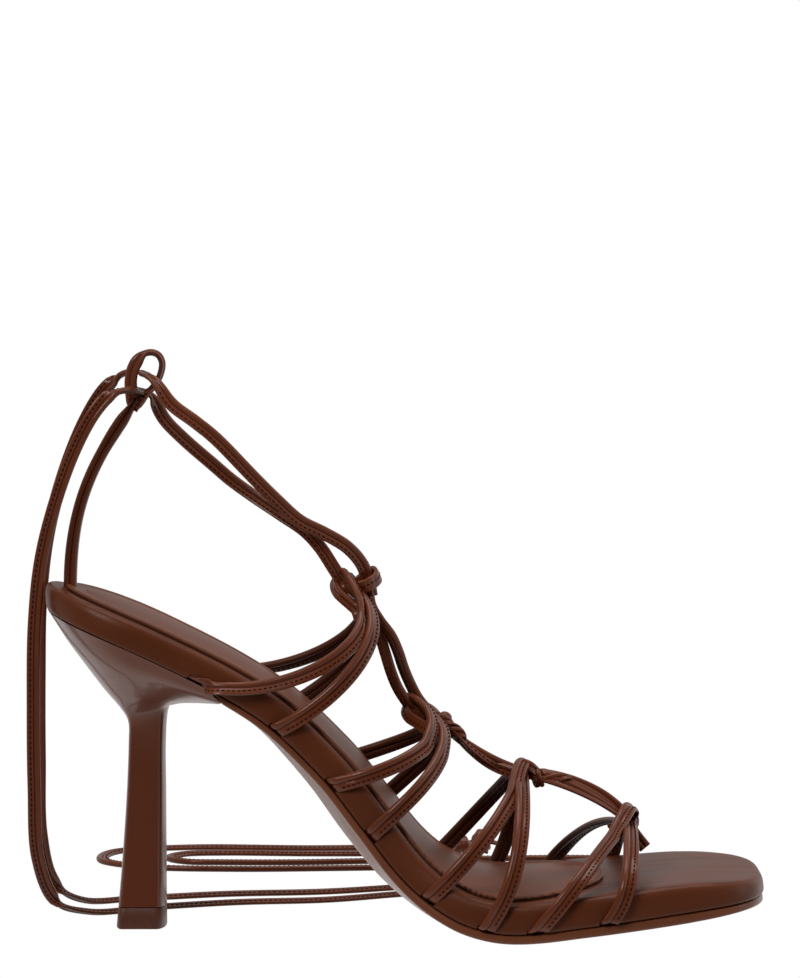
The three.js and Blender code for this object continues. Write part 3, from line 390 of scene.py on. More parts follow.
def station(at):
    """Place along the foot in millimetres."""
    return at * LENGTH - HALF


def height(x):
    """Height of the last over the floor."""
    return BALL_LIFT + HEEL_HEIGHT * rise(share(x))


def slope_at(x):
    """Slope of the last in the side view."""
    near = np.clip(x, 0.5 - HALF, HALF - 0.5)
    return height(near + 0.5) - height(near - 0.5)


def normal(x):
    """Direction square to the last in the side view."""
    return unit(np.array((-slope_at(x), 0, 1)))


def layer_normals(x):
    """Directions across the layers of the sole, upright at the back edge of the seat."""
    x = np.asarray(x, float)
    across = np.stack((-slope_at(x), 0 * x, 1 + 0 * x), axis=-1)
    across /= np.linalg.norm(across, axis=-1, keepdims=True)
    upright = (1 - smoothstep(x, -HALF, SEAT_UPRIGHT - HALF))[..., None]
    turned = across * (1 - upright) + UP * upright
    return turned / np.linalg.norm(turned, axis=-1, keepdims=True)


def on_last(x, y, up):
    """Points at a height above the last."""
    x = np.asarray(x, float)
    y = np.broadcast_to(np.asarray(y, float), x.shape)
    return np.stack((x, y, height(x)), axis=-1) + layer_normals(x) * np.asarray(up)[..., None]


def half_width(x, side):
    """Half width of the sole on one side."""
    return BALL_WIDTH * (outer_width if side < 0 else inner_width)(share(x))


def bezier(points, steps):
    """Points on a cubic curve."""
    a, b, c, d = (np.array(p, float) for p in points)
    t = np.asarray(steps)[:, None]
    return (1 - t) ** 3 * a + 3 * (1 - t) ** 2 * t * b + 3 * (1 - t) * t ** 2 * c + t ** 3 * d


def through(points, steps):
    """A centripetal Catmull-Rom curve through points, evenly spaced along its length."""
    points = np.array(points, float)
    padded = np.vstack((2 * points[0] - points[1], points, 2 * points[-1] - points[-2]))
    dense = []
    for i in range(1, len(padded) - 2):
        p = padded[i - 1:i + 3]
        knots = np.concatenate(([0], np.cumsum(np.linalg.norm(np.diff(p, axis=0), axis=1) ** 0.5)))
        t = np.linspace(knots[1], knots[2], 12, endpoint=False)[:, None]
        a = [((knots[k + 1] - t) * p[k] + (t - knots[k]) * p[k + 1]) / (knots[k + 1] - knots[k])
             for k in range(3)]
        b = [((knots[k + 2] - t) * a[k] + (t - knots[k]) * a[k + 1]) / (knots[k + 2] - knots[k])
             for k in range(2)]
        dense.append(((knots[2] - t) * b[0] + (t - knots[1]) * b[1]) / (knots[2] - knots[1]))
    return resample(np.vstack(dense + [points[-1:]]), steps)


def lengths(points):
    """The length run from the first point of a path to each of its points."""
    return np.concatenate(([0], np.cumsum(np.linalg.norm(np.diff(points, axis=0), axis=1))))


def resample(points, steps):
    """The same path with evenly spaced points."""
    run = lengths(points)
    at = np.linspace(0, run[-1], steps)
    return np.stack([np.interp(at, run, points[:, k]) for k in range(3)], axis=1)


def path_length(points):
    """The whole length of a path."""
    return float(np.linalg.norm(np.diff(points, axis=0), axis=1).sum())


# Meshes

class Shape:
    """A growing list of corners, faces and the material number of each face."""

    def __init__(self):
        self.corners = []
        self.faces = []
        self.marks = []
        self.count = 0

    def add(self, corners, faces, marks=0):
        self.corners.append(np.asarray(corners, float))
        self.faces += [tuple(self.count + k for k in face) for face in faces]
        self.marks += [marks] * len(faces) if isinstance(marks, int) else list(marks)
        self.count += len(corners)


def grid_faces(rows, columns, loop=False):
    """Four sided faces between closed rings of corners; a loop joins the last ring to the first."""
    faces = []
    for j in range(rows if loop else rows - 1):
        for k in range(columns):
            a = j * columns + k
            b = j * columns + (k + 1) % columns
            c = (j + 1) % rows * columns
            faces.append((a, b, c + (k + 1) % columns, c + k))
    return faces


def capped_faces(rows, columns):
    """The faces between rings, with one face over each end."""
    last = (rows - 1) * columns
    return grid_faces(rows, columns) + [tuple(range(columns))[::-1], tuple(range(last, last + columns))]


def mesh_of(name, shape, materials, weld=True):
    """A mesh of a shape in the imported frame, with its faces turned outwards."""
    mesh = bpy.data.meshes.new(name)
    mesh.from_pydata([tuple(v) for v in place(np.vstack(shape.corners))], [], shape.faces)
    for material in materials:
        mesh.materials.append(finish(material))
    mesh.polygons.foreach_set("material_index", shape.marks)
    work = bmesh.new()
    work.from_mesh(mesh)
    if weld:
        bmesh.ops.remove_doubles(work, verts=work.verts, dist=1e-6)
    bmesh.ops.recalc_face_normals(work, faces=work.faces)
    work.to_mesh(mesh)
    work.free()
    return mesh


def build(name, shape, materials, nodes=(), angle=40):
    """Turns a shape into a smooth shaded piece that rides on the shoe."""
    mesh = mesh_of(name, shape, materials)
    mesh.polygons.foreach_set("use_smooth", [True] * len(mesh.polygons))
    mesh.set_sharp_from_angle(angle=math.radians(angle))
    piece = bpy.data.objects.new(name, mesh)
    bpy.context.scene.collection.objects.link(piece)
    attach(piece, "root")
    if nodes:
        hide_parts(*nodes)
    return piece


def frames(points, outwards, closed=False):
    """Side and outward directions at each point of a path."""
    if closed:
        along = np.roll(points, -1, axis=0) - np.roll(points, 1, axis=0)
    else:
        along = np.gradient(points, axis=0)
    along /= np.linalg.norm(along, axis=1, keepdims=True)
    out = outwards - along * (outwards * along).sum(axis=1, keepdims=True)
    out /= np.linalg.norm(out, axis=1, keepdims=True)
    return np.cross(out, along), out


def sweep(shape, points, outwards, section, marks=None, closed=False):
    """Carries a section along a path; each face takes the mark of its side of the section."""
    points = np.asarray(points, float)
    across, out = frames(points, np.asarray(outwards, float), closed)
    section = np.asarray(section, float)
    if section.ndim == 2:
        section = np.broadcast_to(section, (len(points), *section.shape))
    corners = (points[:, None] + across[:, None] * section[:, :, :1] + out[:, None] * section[:, :, 1:])
    rows, columns = section.shape[:2]
    faces = grid_faces(rows, columns, loop=True) if closed else capped_faces(rows, columns)
    ring_marks = list(marks) if marks is not None else [0] * columns
    side_marks = ring_marks * rows if closed else ring_marks * (rows - 1) + [0, 0]
    shape.add(corners.reshape(-1, 3), faces, side_marks)


def strap_section(bead_side=1, scale=1.0):
    """A round bead along one edge and a thin stitched flange; marks for the painted shade in the crease and
    for the lining, darkened as painted shade.
    """
    f = FLANGE / 2
    arc = np.radians(np.linspace(-142, 142, 15))
    points = [(BEAD_SIDE + PIPING / 2 * math.cos(a), PIPING_HEIGHT / 2 * math.sin(a)) for a in arc]
    edge = BEAD_SIDE - PIPING / 2
    half = STRAP_WIDTH / 2
    side = [(edge + 0.12, 0.66), (edge - 0.16, 0.56), (edge - 0.42, 0.96), (-half + 0.45, 0.94),
            (-half + 0.1, 0.6)]
    points += [(x, f * y) for x, y in side] + [(-half, 0)] + [(x, -f * y) for x, y in side[::-1]]
    # Mark 1 is painted shade in the crease, mark 2 the inner face darkened as painted shade
    marks = [2] * 7 + [0] * 7 + [0, 1, 0, 0, 0, 0] + [2, 2, 2, 2, 1, 2]
    points = np.array(points) * scale
    if bead_side < 0:
        points[:, 0] *= -1
        points = points[::-1]
        marks = marks[:-1][::-1] + marks[-1:]
    return points, marks


def flat_section(half_wide, half_thick, corner=0.5, sides=5):
    """A rounded bar."""
    points = []
    for cx, cy, start in ((1, 1, 0), (-1, 1, 90), (-1, -1, 180), (1, -1, 270)):
        for a in np.radians(np.linspace(start, start + 90, sides)):
            points.append((cx * (half_wide - corner) + corner * math.cos(a),
                           cy * (half_thick - corner) + corner * math.sin(a)))
    return np.array(points)


def along_run(values, at, run):
    """Values between the points of a path, read at lengths along it."""
    return np.stack([np.interp(at, run, values[:, k]) for k in range(3)], axis=-1)


def stitch_run(shape, points, outwards, side, level, face=1, skip=2.0):
    """A row of thread stitches beside a path, on one face of the strap."""
    look = bpy.context.scene.sandal
    pitch, length, radius = (v * 1000 for v in (look.stitch_pitch, look.stitch_length, look.thread / 2))
    across, out = frames(points, outwards)
    line = points + across * side + out * np.broadcast_to(level, len(points))[:, None]
    run = lengths(line)
    turn = np.linspace(0, 2 * math.pi, STITCH_SIDES, endpoint=False)
    share_along, size, rise_out = STITCH_RINGS.T
    size = radius * size
    rise_out = radius * rise_out * face
    faces = capped_faces(len(STITCH_RINGS), STITCH_SIDES)
    for start in np.arange(skip, run[-1] - skip, pitch):
        at = start + length * share_along
        u = along_run(across, at, run)
        v = along_run(out, at, run)
        centre = along_run(line, at, run) + v * rise_out[:, None]
        ring = (centre[:, None] + u[:, None] * (np.cos(turn) * 1.2)[None, :, None] * size[:, None, None]
                + v[:, None] * np.sin(turn)[None, :, None] * size[:, None, None])
        shape.add(ring.reshape(-1, 3), faces)


# Materials

# Widths of the patterns in millimetres. Real pebbles, rubbed grit and thread fibres are finer, and
# are drawn coarser so that they show.
FINE_CREASE = 2.381
LACQUER_CLOUD = 33.333
ORANGE_PEEL = 3.846

# Stretch marks 42 mm long and 1.6 mm apart, as repeats in one metre
STRETCH_MARKS = (24.0, 640.0, 430.0)


def linear(colour):
    """An sRGB hex colour as linear values."""
    values = [int(colour[k:k + 2], 16) / 255 for k in (1, 3, 5)]
    return tuple(v / 12.92 if v <= 0.04045 else ((v + 0.055) / 1.055) ** 2.4 for v in values)


def toned(colour, factor):
    """A darker or lighter shade of a colour."""
    return tuple(v * factor for v in colour[:3]) + (1.0,)


def node(tree, kind, inputs=None, **settings):
    """Adds a node, sets its own fields and the values or links of its sockets."""
    made = tree.nodes.new(kind)
    for key, value in settings.items():
        setattr(made, key, value)
    for key, value in (inputs or {}).items():
        socket = made.inputs[key]
        if isinstance(value, bpy.types.NodeSocket):
            tree.links.new(value, socket)
        else:
            socket.default_value = value
    return made


def fresh(name):
    """An empty material with its tree and the place on the object in metres."""
    material = bpy.data.materials.new(name)
    material.use_nodes = True
    material.node_tree.nodes.clear()
    return material.node_tree, node(material.node_tree, "ShaderNodeTexCoord").outputs["Object"]


def leather(name, colour, roughness=0.42, bump=0.12, coat=0.12, mottle=18, streaks=0.0,
            specular=0.2, gloss=0.25):
    """Smooth dyed calf leather: soft mottling, fine pebbled grain and a thin satin finish."""
    look = bpy.context.scene.sandal
    tree, at = fresh(name)
    clouds = node(tree, "ShaderNodeTexNoise", {"Vector": at, "Scale": 1000 / mottle, "Detail": 4.0,
                                               "Roughness": 0.55})
    tone = node(tree, "ShaderNodeValToRGB", {"Fac": clouds.outputs["Fac"]})
    tone.color_ramp.elements[0].position = 0.3
    tone.color_ramp.elements[0].color = toned(colour, 0.83)
    tone.color_ramp.elements[1].position = 0.74
    tone.color_ramp.elements[1].color = toned(colour, 1.14)
    tone.color_ramp.elements.new(0.5).color = toned(colour, 1.0)
    pebbles = node(tree, "ShaderNodeTexVoronoi", {"Vector": at, "Scale": 1 / look.grain}, feature="F1")
    creases = node(tree, "ShaderNodeTexNoise", {"Vector": at, "Scale": 1000 / FINE_CREASE, "Detail": 3.0})
    relief = node(tree, "ShaderNodeMath", {0: pebbles.outputs["Distance"], 1: creases.outputs["Fac"]},
                  operation="ADD")
    colour_out = tone.outputs["Color"]
    if streaks:
        stretched = node(tree, "ShaderNodeMapping", {"Vector": at, "Scale": STRETCH_MARKS,
                                                     "Rotation": (0.0, 0.0, 0.05)})
        lines = node(tree, "ShaderNodeTexNoise", {"Vector": stretched.outputs["Vector"], "Scale": 1.0,
                                                  "Detail": 3.0})
        upward = node(tree, "ShaderNodeSeparateXYZ", {
            "Vector": node(tree, "ShaderNodeTexCoord").outputs["Normal"]})
        on_top = node(tree, "ShaderNodeMapRange", {"Value": upward.outputs["Z"], "From Min": 0.7,
                                                   "From Max": 0.95})
        shade = node(tree, "ShaderNodeMapRange", {"Value": lines.outputs["Fac"], "From Min": 0.3,
                                                  "From Max": 0.7, "To Min": -streaks, "To Max": streaks})
        weight = node(tree, "ShaderNodeMath", {0: shade.outputs["Result"], 1: on_top.outputs["Result"],
                                               2: 1.0}, operation="MULTIPLY_ADD")
        colour_out = node(tree, "ShaderNodeVectorMath", {0: colour_out, "Scale": weight.outputs["Value"]},
                          operation="SCALE").outputs["Vector"]
        relief = node(tree, "ShaderNodeMath", {0: lines.outputs["Fac"], 1: on_top.outputs["Result"],
                                               2: relief.outputs["Value"]}, operation="MULTIPLY_ADD")
    raised = node(tree, "ShaderNodeBump", {"Strength": bump, "Distance": 0.0002,
                                           "Height": relief.outputs["Value"]})
    shine = node(tree, "ShaderNodeMapRange", {"Value": clouds.outputs["Fac"], "To Min": roughness - 0.08,
                                              "To Max": roughness + 0.08})
    skin = node(tree, "ShaderNodeBsdfPrincipled", {
        "Base Color": colour_out, "Roughness": shine.outputs["Result"], "Normal": raised.outputs["Normal"],
        "IOR": 1.48, "Specular IOR Level": specular, "Specular Tint": (1.0, 0.84, 0.72, 1.0),
        "Coat Weight": coat, "Coat Roughness": gloss})
    node(tree, "ShaderNodeOutputMaterial", {"Surface": skin.outputs["BSDF"]})


def lacquer(name, colour):
    """Moulded heel under a clear lacquer: even colour, very smooth, slight orange peel."""
    tree, at = fresh(name)
    clouds = node(tree, "ShaderNodeTexNoise", {"Vector": at, "Scale": 1000 / LACQUER_CLOUD, "Detail": 2.0})
    tone = node(tree, "ShaderNodeMix", {"Factor": clouds.outputs["Fac"], "A": toned(colour, 0.88),
                                        "B": toned(colour, 1.12)}, data_type="RGBA")
    peel = node(tree, "ShaderNodeTexNoise", {"Vector": at, "Scale": 1000 / ORANGE_PEEL, "Detail": 1.0})
    raised = node(tree, "ShaderNodeBump", {"Strength": 0.02, "Distance": 0.0005,
                                           "Height": peel.outputs["Fac"]})
    skin = node(tree, "ShaderNodeBsdfPrincipled", {
        "Base Color": tone.outputs["Result"], "Roughness": 0.36, "IOR": 1.5,
        "Normal": raised.outputs["Normal"], "Specular IOR Level": 0.27,
        "Specular Tint": (1.0, 0.7, 0.55, 1.0), "Coat Weight": 0.26, "Coat Roughness": 0.08})
    node(tree, "ShaderNodeOutputMaterial", {"Surface": skin.outputs["BSDF"]})


def matte(name, colour, roughness=0.6, specks=1.4286, specular=0.3):
    """A dull rubbed surface with fine specks, for rubber, thread, the darkened raw edge and the painted
    shadow in the slots.
    """
    tree, at = fresh(name)
    grit = node(tree, "ShaderNodeTexNoise", {"Vector": at, "Scale": 1000 / specks, "Detail": 4.0})
    tone = node(tree, "ShaderNodeMix", {"Factor": grit.outputs["Fac"], "A": toned(colour, 0.7),
                                        "B": toned(colour, 1.3)}, data_type="RGBA")
    raised = node(tree, "ShaderNodeBump", {"Strength": 0.1, "Distance": 0.0002,
                                           "Height": grit.outputs["Fac"]})
    skin = node(tree, "ShaderNodeBsdfPrincipled", {
        "Base Color": tone.outputs["Result"], "Roughness": roughness, "Normal": raised.outputs["Normal"],
        "Specular IOR Level": specular})
    node(tree, "ShaderNodeOutputMaterial", {"Surface": skin.outputs["BSDF"]})


def finish(name):
    """The named finish, made from the panel's colours the first time that it is asked for."""
    if name in bpy.data.materials:
        return bpy.data.materials[name]
    look = bpy.context.scene.sandal
    if name == "wrapped_calf":
        # Soft calf wrapped over a cord: satin with a clear highlight along the bead
        leather(name, look.strap_colour, roughness=0.4, coat=0.22, specular=0.09, gloss=0.15)
    elif name == "lining_and_painted_shade":
        # The strap's inner face: thinner lining calf, nearly without shine, coloured darker as painted
        # shade on the side turned towards the foot
        leather(name, toned(look.strap_colour, 0.5), roughness=0.55, coat=0.04, specular=0.15)
    elif name == "crease_painted_shade":
        # Painted shade in the crease where the bead meets the flange: the groove is coloured darker than
        # the strap
        leather(name, toned(look.strap_colour, 0.55), roughness=0.6, coat=0.0, specular=0.1)
    elif name == "covered_footbed":
        # Calf pulled tight over the board: flatter sheen, faint lengthwise stretch marks
        leather(name, look.bed_colour, roughness=0.4, streaks=0.38, mottle=30, coat=0.05,
                specular=0.11)
    elif name == "padded_liner":
        # Softer lining leather over thin foam: broader, duller sheen
        leather(name, look.liner_colour, roughness=0.46, mottle=26, streaks=0.08, coat=0.04,
                specular=0.14)
    elif name == "raw_edge_and_shade":
        # Raw cut edge of the lining leather, dull, and coloured darker than the liner as painted shade
        # along the liner's step
        matte(name, look.edge_and_shade_colour, roughness=0.7)
    elif name == "burnished_sole":
        # Waxed and burnished sole leather: smooth, slightly shiny
        leather(name, look.sole_colour, roughness=0.38, bump=0.06, coat=0.08, specular=0.16)
    elif name == "lacquered_heel":
        # Moulded ABS under clear lacquer: deep, even brown with clear reflections
        lacquer(name, look.heel_colour)
    elif name == "polyurethane_lift":
        # Cast polyurethane, ground flush with the heel: fine sanded texture
        matte(name, look.lift_colour, roughness=0.45, specular=0.2)
    elif name == "waxed_thread":
        # Waxed polyester thread, a shade darker than the leather
        matte(name, look.thread_colour, roughness=0.8, specks=0.6667, specular=0.03)
    elif name == "slot_shadow":
        # Painted shadow inside the strap slots: the unfinished board there, coloured nearly black
        matte(name, toned(look.strap_colour, 0.12), roughness=0.9)
    return bpy.data.materials[name]


# Camera, light and floor

def make_camera():
    """The photograph's own camera: far off, a little above the shoe, looking slightly down."""
    data = bpy.data.cameras.new("camera")
    data.sensor_fit = "VERTICAL"
    data.sensor_height = SENSOR
    data.lens = FOCAL_PIXELS * SENSOR / FRAME_HEIGHT
    camera = bpy.data.objects.new("camera", data)
    bpy.context.scene.collection.objects.link(camera)
    camera.location = tuple(place(CAMERA_PLACE))
    camera.rotation_euler = (math.radians(90 - CAMERA_TILT), 0, 0)
    data.clip_end = 50
    bpy.context.scene.camera = camera


def area_light(name, location, target, size, power, colour=(1, 1, 1)):
    """A soft rectangular light, in metres and watts."""
    data = bpy.data.lights.new(name, "AREA")
    data.shape = "RECTANGLE"
    data.size, data.size_y = size
    data.energy = power
    data.color = colour
    light = bpy.data.objects.new(name, data)
    bpy.context.scene.collection.objects.link(light)
    light.location = location
    light.rotation_euler = (Vector(target) - Vector(location)).to_track_quat("-Z", "Y").to_euler()


def make_light():
    """A white sweep that the camera sees, and a softer studio that the shoe sees."""
    look = bpy.context.scene.sandal
    scene = bpy.context.scene
    world = bpy.data.worlds.new("studio")
    scene.world = world
    world.use_nodes = True
    tree = world.node_tree
    tree.nodes.clear()
    aim = node(tree, "ShaderNodeTexCoord").outputs["Generated"]
    split = node(tree, "ShaderNodeSeparateXYZ", {"Vector": aim})
    depth = node(tree, "ShaderNodeMapRange", {"Value": split.outputs["Y"], "From Min": -1.0})
    glow = node(tree, "ShaderNodeValToRGB", {"Fac": depth.outputs["Result"]})
    glow.color_ramp.elements[0].position = 0.1
    glow.color_ramp.elements[0].color = (look.front_glow,) * 3 + (1.0,)
    glow.color_ramp.elements[1].position = 0.95
    glow.color_ramp.elements[1].color = (look.back_glow,) * 3 + (1.0,)
    glow.color_ramp.elements.new(0.42).color = (look.side_glow,) * 3 + (1.0,)
    glow.color_ramp.elements.new(0.7).color = (look.side_glow,) * 3 + (1.0,)
    below = node(tree, "ShaderNodeMapRange", {"Value": split.outputs["Z"], "From Min": 0.0,
                                              "From Max": -0.6,
                                              "To Max": look.floor_glow})
    right = node(tree, "ShaderNodeMapRange", {"Value": split.outputs["X"], "From Min": 0.3,
                                              "From Max": 0.55,
                                              "To Max": look.right_glow})
    extra = node(tree, "ShaderNodeMath", {0: below.outputs["Result"], 1: right.outputs["Result"]},
                 operation="MAXIMUM")
    path = node(tree, "ShaderNodeLightPath")
    mirrored = node(tree, "ShaderNodeMath", {0: extra.outputs["Value"], 1: path.outputs["Is Glossy Ray"]},
                    operation="MULTIPLY")
    bounced = node(tree, "ShaderNodeMath", {0: below.outputs["Result"], 1: look.floor_bounce,
                                            2: mirrored.outputs["Value"]}, operation="MULTIPLY_ADD")
    total = node(tree, "ShaderNodeVectorMath", {0: glow.outputs["Color"], 1: bounced.outputs["Value"]},
                 operation="ADD")
    room = node(tree, "ShaderNodeBackground", {"Color": total.outputs["Vector"], "Strength": 1.0})
    sweep_white = node(tree, "ShaderNodeBackground", {"Color": (1, 1, 1, 1), "Strength": 1.0})
    both = node(tree, "ShaderNodeMixShader", {0: path.outputs["Is Camera Ray"],
                                              1: room.outputs["Background"],
                                              2: sweep_white.outputs["Background"]})
    node(tree, "ShaderNodeOutputWorld", {"Surface": both.outputs["Shader"]})
    area_light("key", (-0.7, -1.2, 1.1), (0, 0, 0.06), (0.7, 0.7), look.key_power)
    area_light("top", (0.1, 0.1, 1.5), (0, 0, 0.05), (1.0, 0.8), look.key_power * 0.6)
    area_light("side", (1.3, -0.2, 0.35), (0, 0, 0.08), (0.5, 0.9), look.key_power * 0.12)
    scene.view_settings.view_transform = "Standard"


def make_floor():
    """A plain white floor that lights nothing itself."""
    mesh = bpy.data.meshes.new("floor")
    mesh.from_pydata([(-4, -4, 0), (4, -4, 0), (4, 4, 0), (-4, 4, 0)], [], [(0, 1, 2, 3)])
    floor = bpy.data.objects.new("floor", mesh)
    bpy.context.scene.collection.objects.link(floor)
    material = bpy.data.materials.new("paper_sweep")
    material.use_nodes = True
    tree = material.node_tree
    tree.nodes.clear()
    glow = node(tree, "ShaderNodeEmission", {"Color": (1, 1, 1, 1), "Strength": 1.0})
    node(tree, "ShaderNodeOutputMaterial", {"Surface": glow.outputs["Emission"]})
    mesh.materials.append(material)
    floor.location = (0, 0, -0.0002)
    floor.visible_diffuse = False
    floor.visible_glossy = False
    floor.visible_shadow = False


# Straps and cords of the upper

FLAT_X = np.arange(-HALF, HALF + 0.1, 0.25)
FLAT_Z = height(FLAT_X)


def over_last(point):
    """Nearest station of the last below a point of the side view, and the height above it."""
    x = FLAT_X[np.argmin((FLAT_X - point[0]) ** 2 + (FLAT_Z - point[2]) ** 2)]
    up = normal(x)
    return x, max(float(np.dot(point - np.array((x, 0, height(x))), up)), 0.0)


def arch(start, end, handles, steps, spread):
    """A curve in the side view between two points, from its handles."""
    low_along, low_across, high_along, high_across = handles
    flat = np.array((1.0, 0.0, 1.0))
    start, end = start * flat, end * flat
    line = end - start
    over = np.array((-line[2], 0, line[0]))
    t = spread(np.linspace(0, 1, steps + 1))
    return bezier((start, start + line * low_along + over * low_across,
                   start + line * high_along + over * high_across, end), t)


def knot_point(name):
    """Middle of a knot over the foot."""
    at, up = KNOTS[name][:2]
    x = station(at)
    return np.array((x, 0, height(x))) + normal(x) * up * INSTEP


def strap_run(row, side, steps=44):
    """A side strap's points and outward directions, folded end first."""
    slot = station(row[0])
    up = normal(slot)
    top = KNOTS[row[1]][1] * INSTEP
    start = np.array((slot, 0, height(slot))) + up * STRAP_BEND
    flat = arch(start, knot_point(row[1]), row[2:], steps, lambda u: 1 - (1 - u) ** 2)
    knot_up = normal(station(KNOTS[row[1]][0]))
    points = []
    outs = []
    for i, point in enumerate(flat):
        x, level = over_last(point)
        reach = half_width(x, side) + CLEARANCE + BEAD / 2
        risen = min(max((level - STRAP_SHOULDER) / (top - STRAP_SHOULDER), 0), 1)
        wide = 0 if i == len(flat) - 1 else (1 - risen ** FOOT_POWER) ** (1 / FOOT_POWER)
        out = LATERAL * (side * wide ** (FOOT_POWER - 1) / reach)
        out = out + unit(mix(up, knot_up, i / steps)) * (risen ** (FOOT_POWER - 1) / (top - STRAP_SHOULDER))
        points.append(np.array((point[0], side * reach * wide, point[2])))
        outs.append(unit(out))
    edge = np.array((up[2], 0, -up[0]))
    rising = unit((points[1] - points[0]) * np.array((1, 0, 1)))
    slant = float(np.dot(rising, edge))
    lean = TUCK_SLANT * slant / math.sqrt(1 - slant ** 2)
    lateral = LATERAL * side
    centre = points[0] - lateral * STRAP_BEND
    bend = []
    bend_outs = []
    for angle in (90, 72, 54, 36, 18):
        a = math.radians(angle)
        bend.append(centre + lateral * STRAP_BEND * math.cos(a) - up * STRAP_BEND * math.sin(a)
                    - edge * lean * STRAP_BEND * a)
        bend_outs.append(unit(lateral * math.cos(a) - up * math.sin(a)))
    inner = bend[0] - lateral * STRAP_TUCK - edge * lean * STRAP_TUCK
    return {
        "points": np.array([inner, *bend, *points]),
        "outs": np.array([-up, *bend_outs, *outs]),
        "pocket": (bend[0], inner, lateral, edge, up, lean),
        "side": side,
    }


def relaxed(run):
    """Rounds the small corner where the folded end meets the strap."""
    points, outs = run["points"].copy(), run["outs"].copy()
    for _ in range(6):
        points[1:-1] = points[1:-1] * 0.5 + (points[:-2] + points[2:]) * 0.25
        outs[1:-1] = outs[1:-1] * 0.5 + (outs[:-2] + outs[2:]) * 0.25
    return points, outs


RUNS = [strap_run(row, side) for row in STRAPS for side in (-1, 1)]


def pocket_boxes(shape):
    """Slots in the footbed's lower edge that take the folded strap ends."""
    for run in RUNS:
        mouth, inner, lateral, edge, up, lean = run["pocket"]
        half_long = (STRAP_WIDTH / 2 + 0.12) * math.sqrt(1 + lean ** 2)
        deeper = CLEARANCE + (STRAP_WIDTH / 2) * abs(lean) / math.sqrt(1 + lean ** 2)
        end = inner - lateral * deeper - edge * lean * deeper
        opening = mouth + lateral * STRAP_BEND * 3 + edge * lean * STRAP_BEND * 3
        corners = []
        for point in (end, opening):
            for long, level in ((-1, -0.4), (1, -0.4), (1, BEAD / 2 + 0.12), (-1, BEAD / 2 + 0.12)):
                corners.append(point + edge * long * half_long + up * level)
        shape.add(corners, [(0, 1, 2, 3), (7, 6, 5, 4), (0, 4, 5, 1), (1, 5, 6, 2), (2, 6, 7, 3),
                            (3, 7, 4, 0)])


def cut_pockets(piece):
    """Cuts the strap slots out of a piece and bakes the result."""
    shape = Shape()
    pocket_boxes(shape)
    # The cut faces of the slots take a nearly black finish: painted shadow
    mesh = mesh_of("pocket_cutter", shape, ["slot_shadow"], weld=False)
    cutter = bpy.data.objects.new("pocket_cutter", mesh)
    bpy.context.scene.collection.objects.link(cutter)
    cut = piece.modifiers.new("pockets", "BOOLEAN")
    cut.operation = "DIFFERENCE"
    cut.solver = "EXACT"
    cut.material_mode = "TRANSFER"
    cut.object = cutter
    bpy.context.view_layer.update()
    baked = bpy.data.meshes.new_from_object(piece.evaluated_get(bpy.context.evaluated_depsgraph_get()))
    piece.modifiers.clear()
    old = piece.data
    piece.data = baked
    bpy.data.meshes.remove(old)
    bpy.data.objects.remove(cutter)
    baked.set_sharp_from_angle(angle=math.radians(35))


def turned_over(points, outs, centre, tail, steps=70):
    """Leads a strap off its run, over the knot and round behind it."""
    tail = np.array(tail, float)
    keep = int(np.argmin(np.linalg.norm(points - tail[0], axis=1))) - 2
    path = through(np.vstack((points[:keep], tail)), steps)
    for _ in range(5):
        path[1:-1] = path[1:-1] * 0.5 + (path[:-2] + path[2:]) * 0.25
    joint = path_length(points[:keep])
    run = lengths(path)
    old = lengths(points)
    blend = smoothstep(run, joint - 4, joint + 6)[:, None]
    around = (path - np.array(centre, float)) * np.array((1, 0.35, 1))
    around /= np.linalg.norm(around, axis=1, keepdims=True)
    return path, along_run(outs, run, old) * (1 - blend) + around * blend


def side_straps(straps, thread):
    """Straps that flatten towards their folded ends, with stitches on both faces."""
    for number, run in enumerate(RUNS):
        points, outs = relaxed(run)
        if run["side"] < 0 and number // 2 in OVERS:
            points, outs = turned_over(points, outs, *OVERS[number // 2])
        distance = lengths(points)
        low, high = LEANS[number // 2]
        lean = mix(low, high, smoothstep(distance / distance[-1], 0.35, 0.9)) * smoothstep(distance, 4, 13)
        outs = outs + np.array((0.7, 0, 0.7)) * lean[:, None]
        bead_side = 1 if run["side"] < 0 else -1
        section, marks = strap_section(bead_side)
        flat = mix(0.5, 1.0, smoothstep(distance, STRAP_TUCK + 1, STRAP_TUCK + 11))[:, None]
        sections = np.repeat(section[None], len(points), axis=0)
        sections[:, :, 1] = sections[:, :, 1] * flat - (1 - flat) * BEAD / 2
        sweep(straps, points, outs, sections, marks)
        first = int(np.searchsorted(distance, STRAP_TUCK + 2.5))
        for face in (1, -1):
            level = face * FLANGE / 2 * flat[first:, 0] - (1 - flat[first:, 0]) * BEAD / 2
            stitch_run(thread, points[first:], outs[first:], -bead_side * STITCH_SIDE, level, face,
                       skip=0.8)


def spine_cord(row, steps=40):
    """A cord between two knots."""
    start, end = knot_point(row[0]), knot_point(row[1])
    line = end - start
    over = unit(np.array((-line[2], 0, line[0])))
    points = arch(start, end, row[2:6], steps, lambda u: u)
    outs = []
    for i, point in enumerate(points):
        u = i / steps
        side = (mix(row[6], row[7], smoothstep(u, 0, 0.5)) if u < 0.5
                else mix(row[7], row[8], smoothstep(u, 0.5, 1)))
        point[1] = STRAP_WIDTH * side
        turn = math.radians(row[9]) * (u - 0.5)
        out = unit(LATERAL * -0.6 + over)
        sideways = unit(np.cross(unit(line), out))
        outs.append(unit(out * math.cos(turn) + sideways * math.sin(turn)))
    return points, np.array(outs)


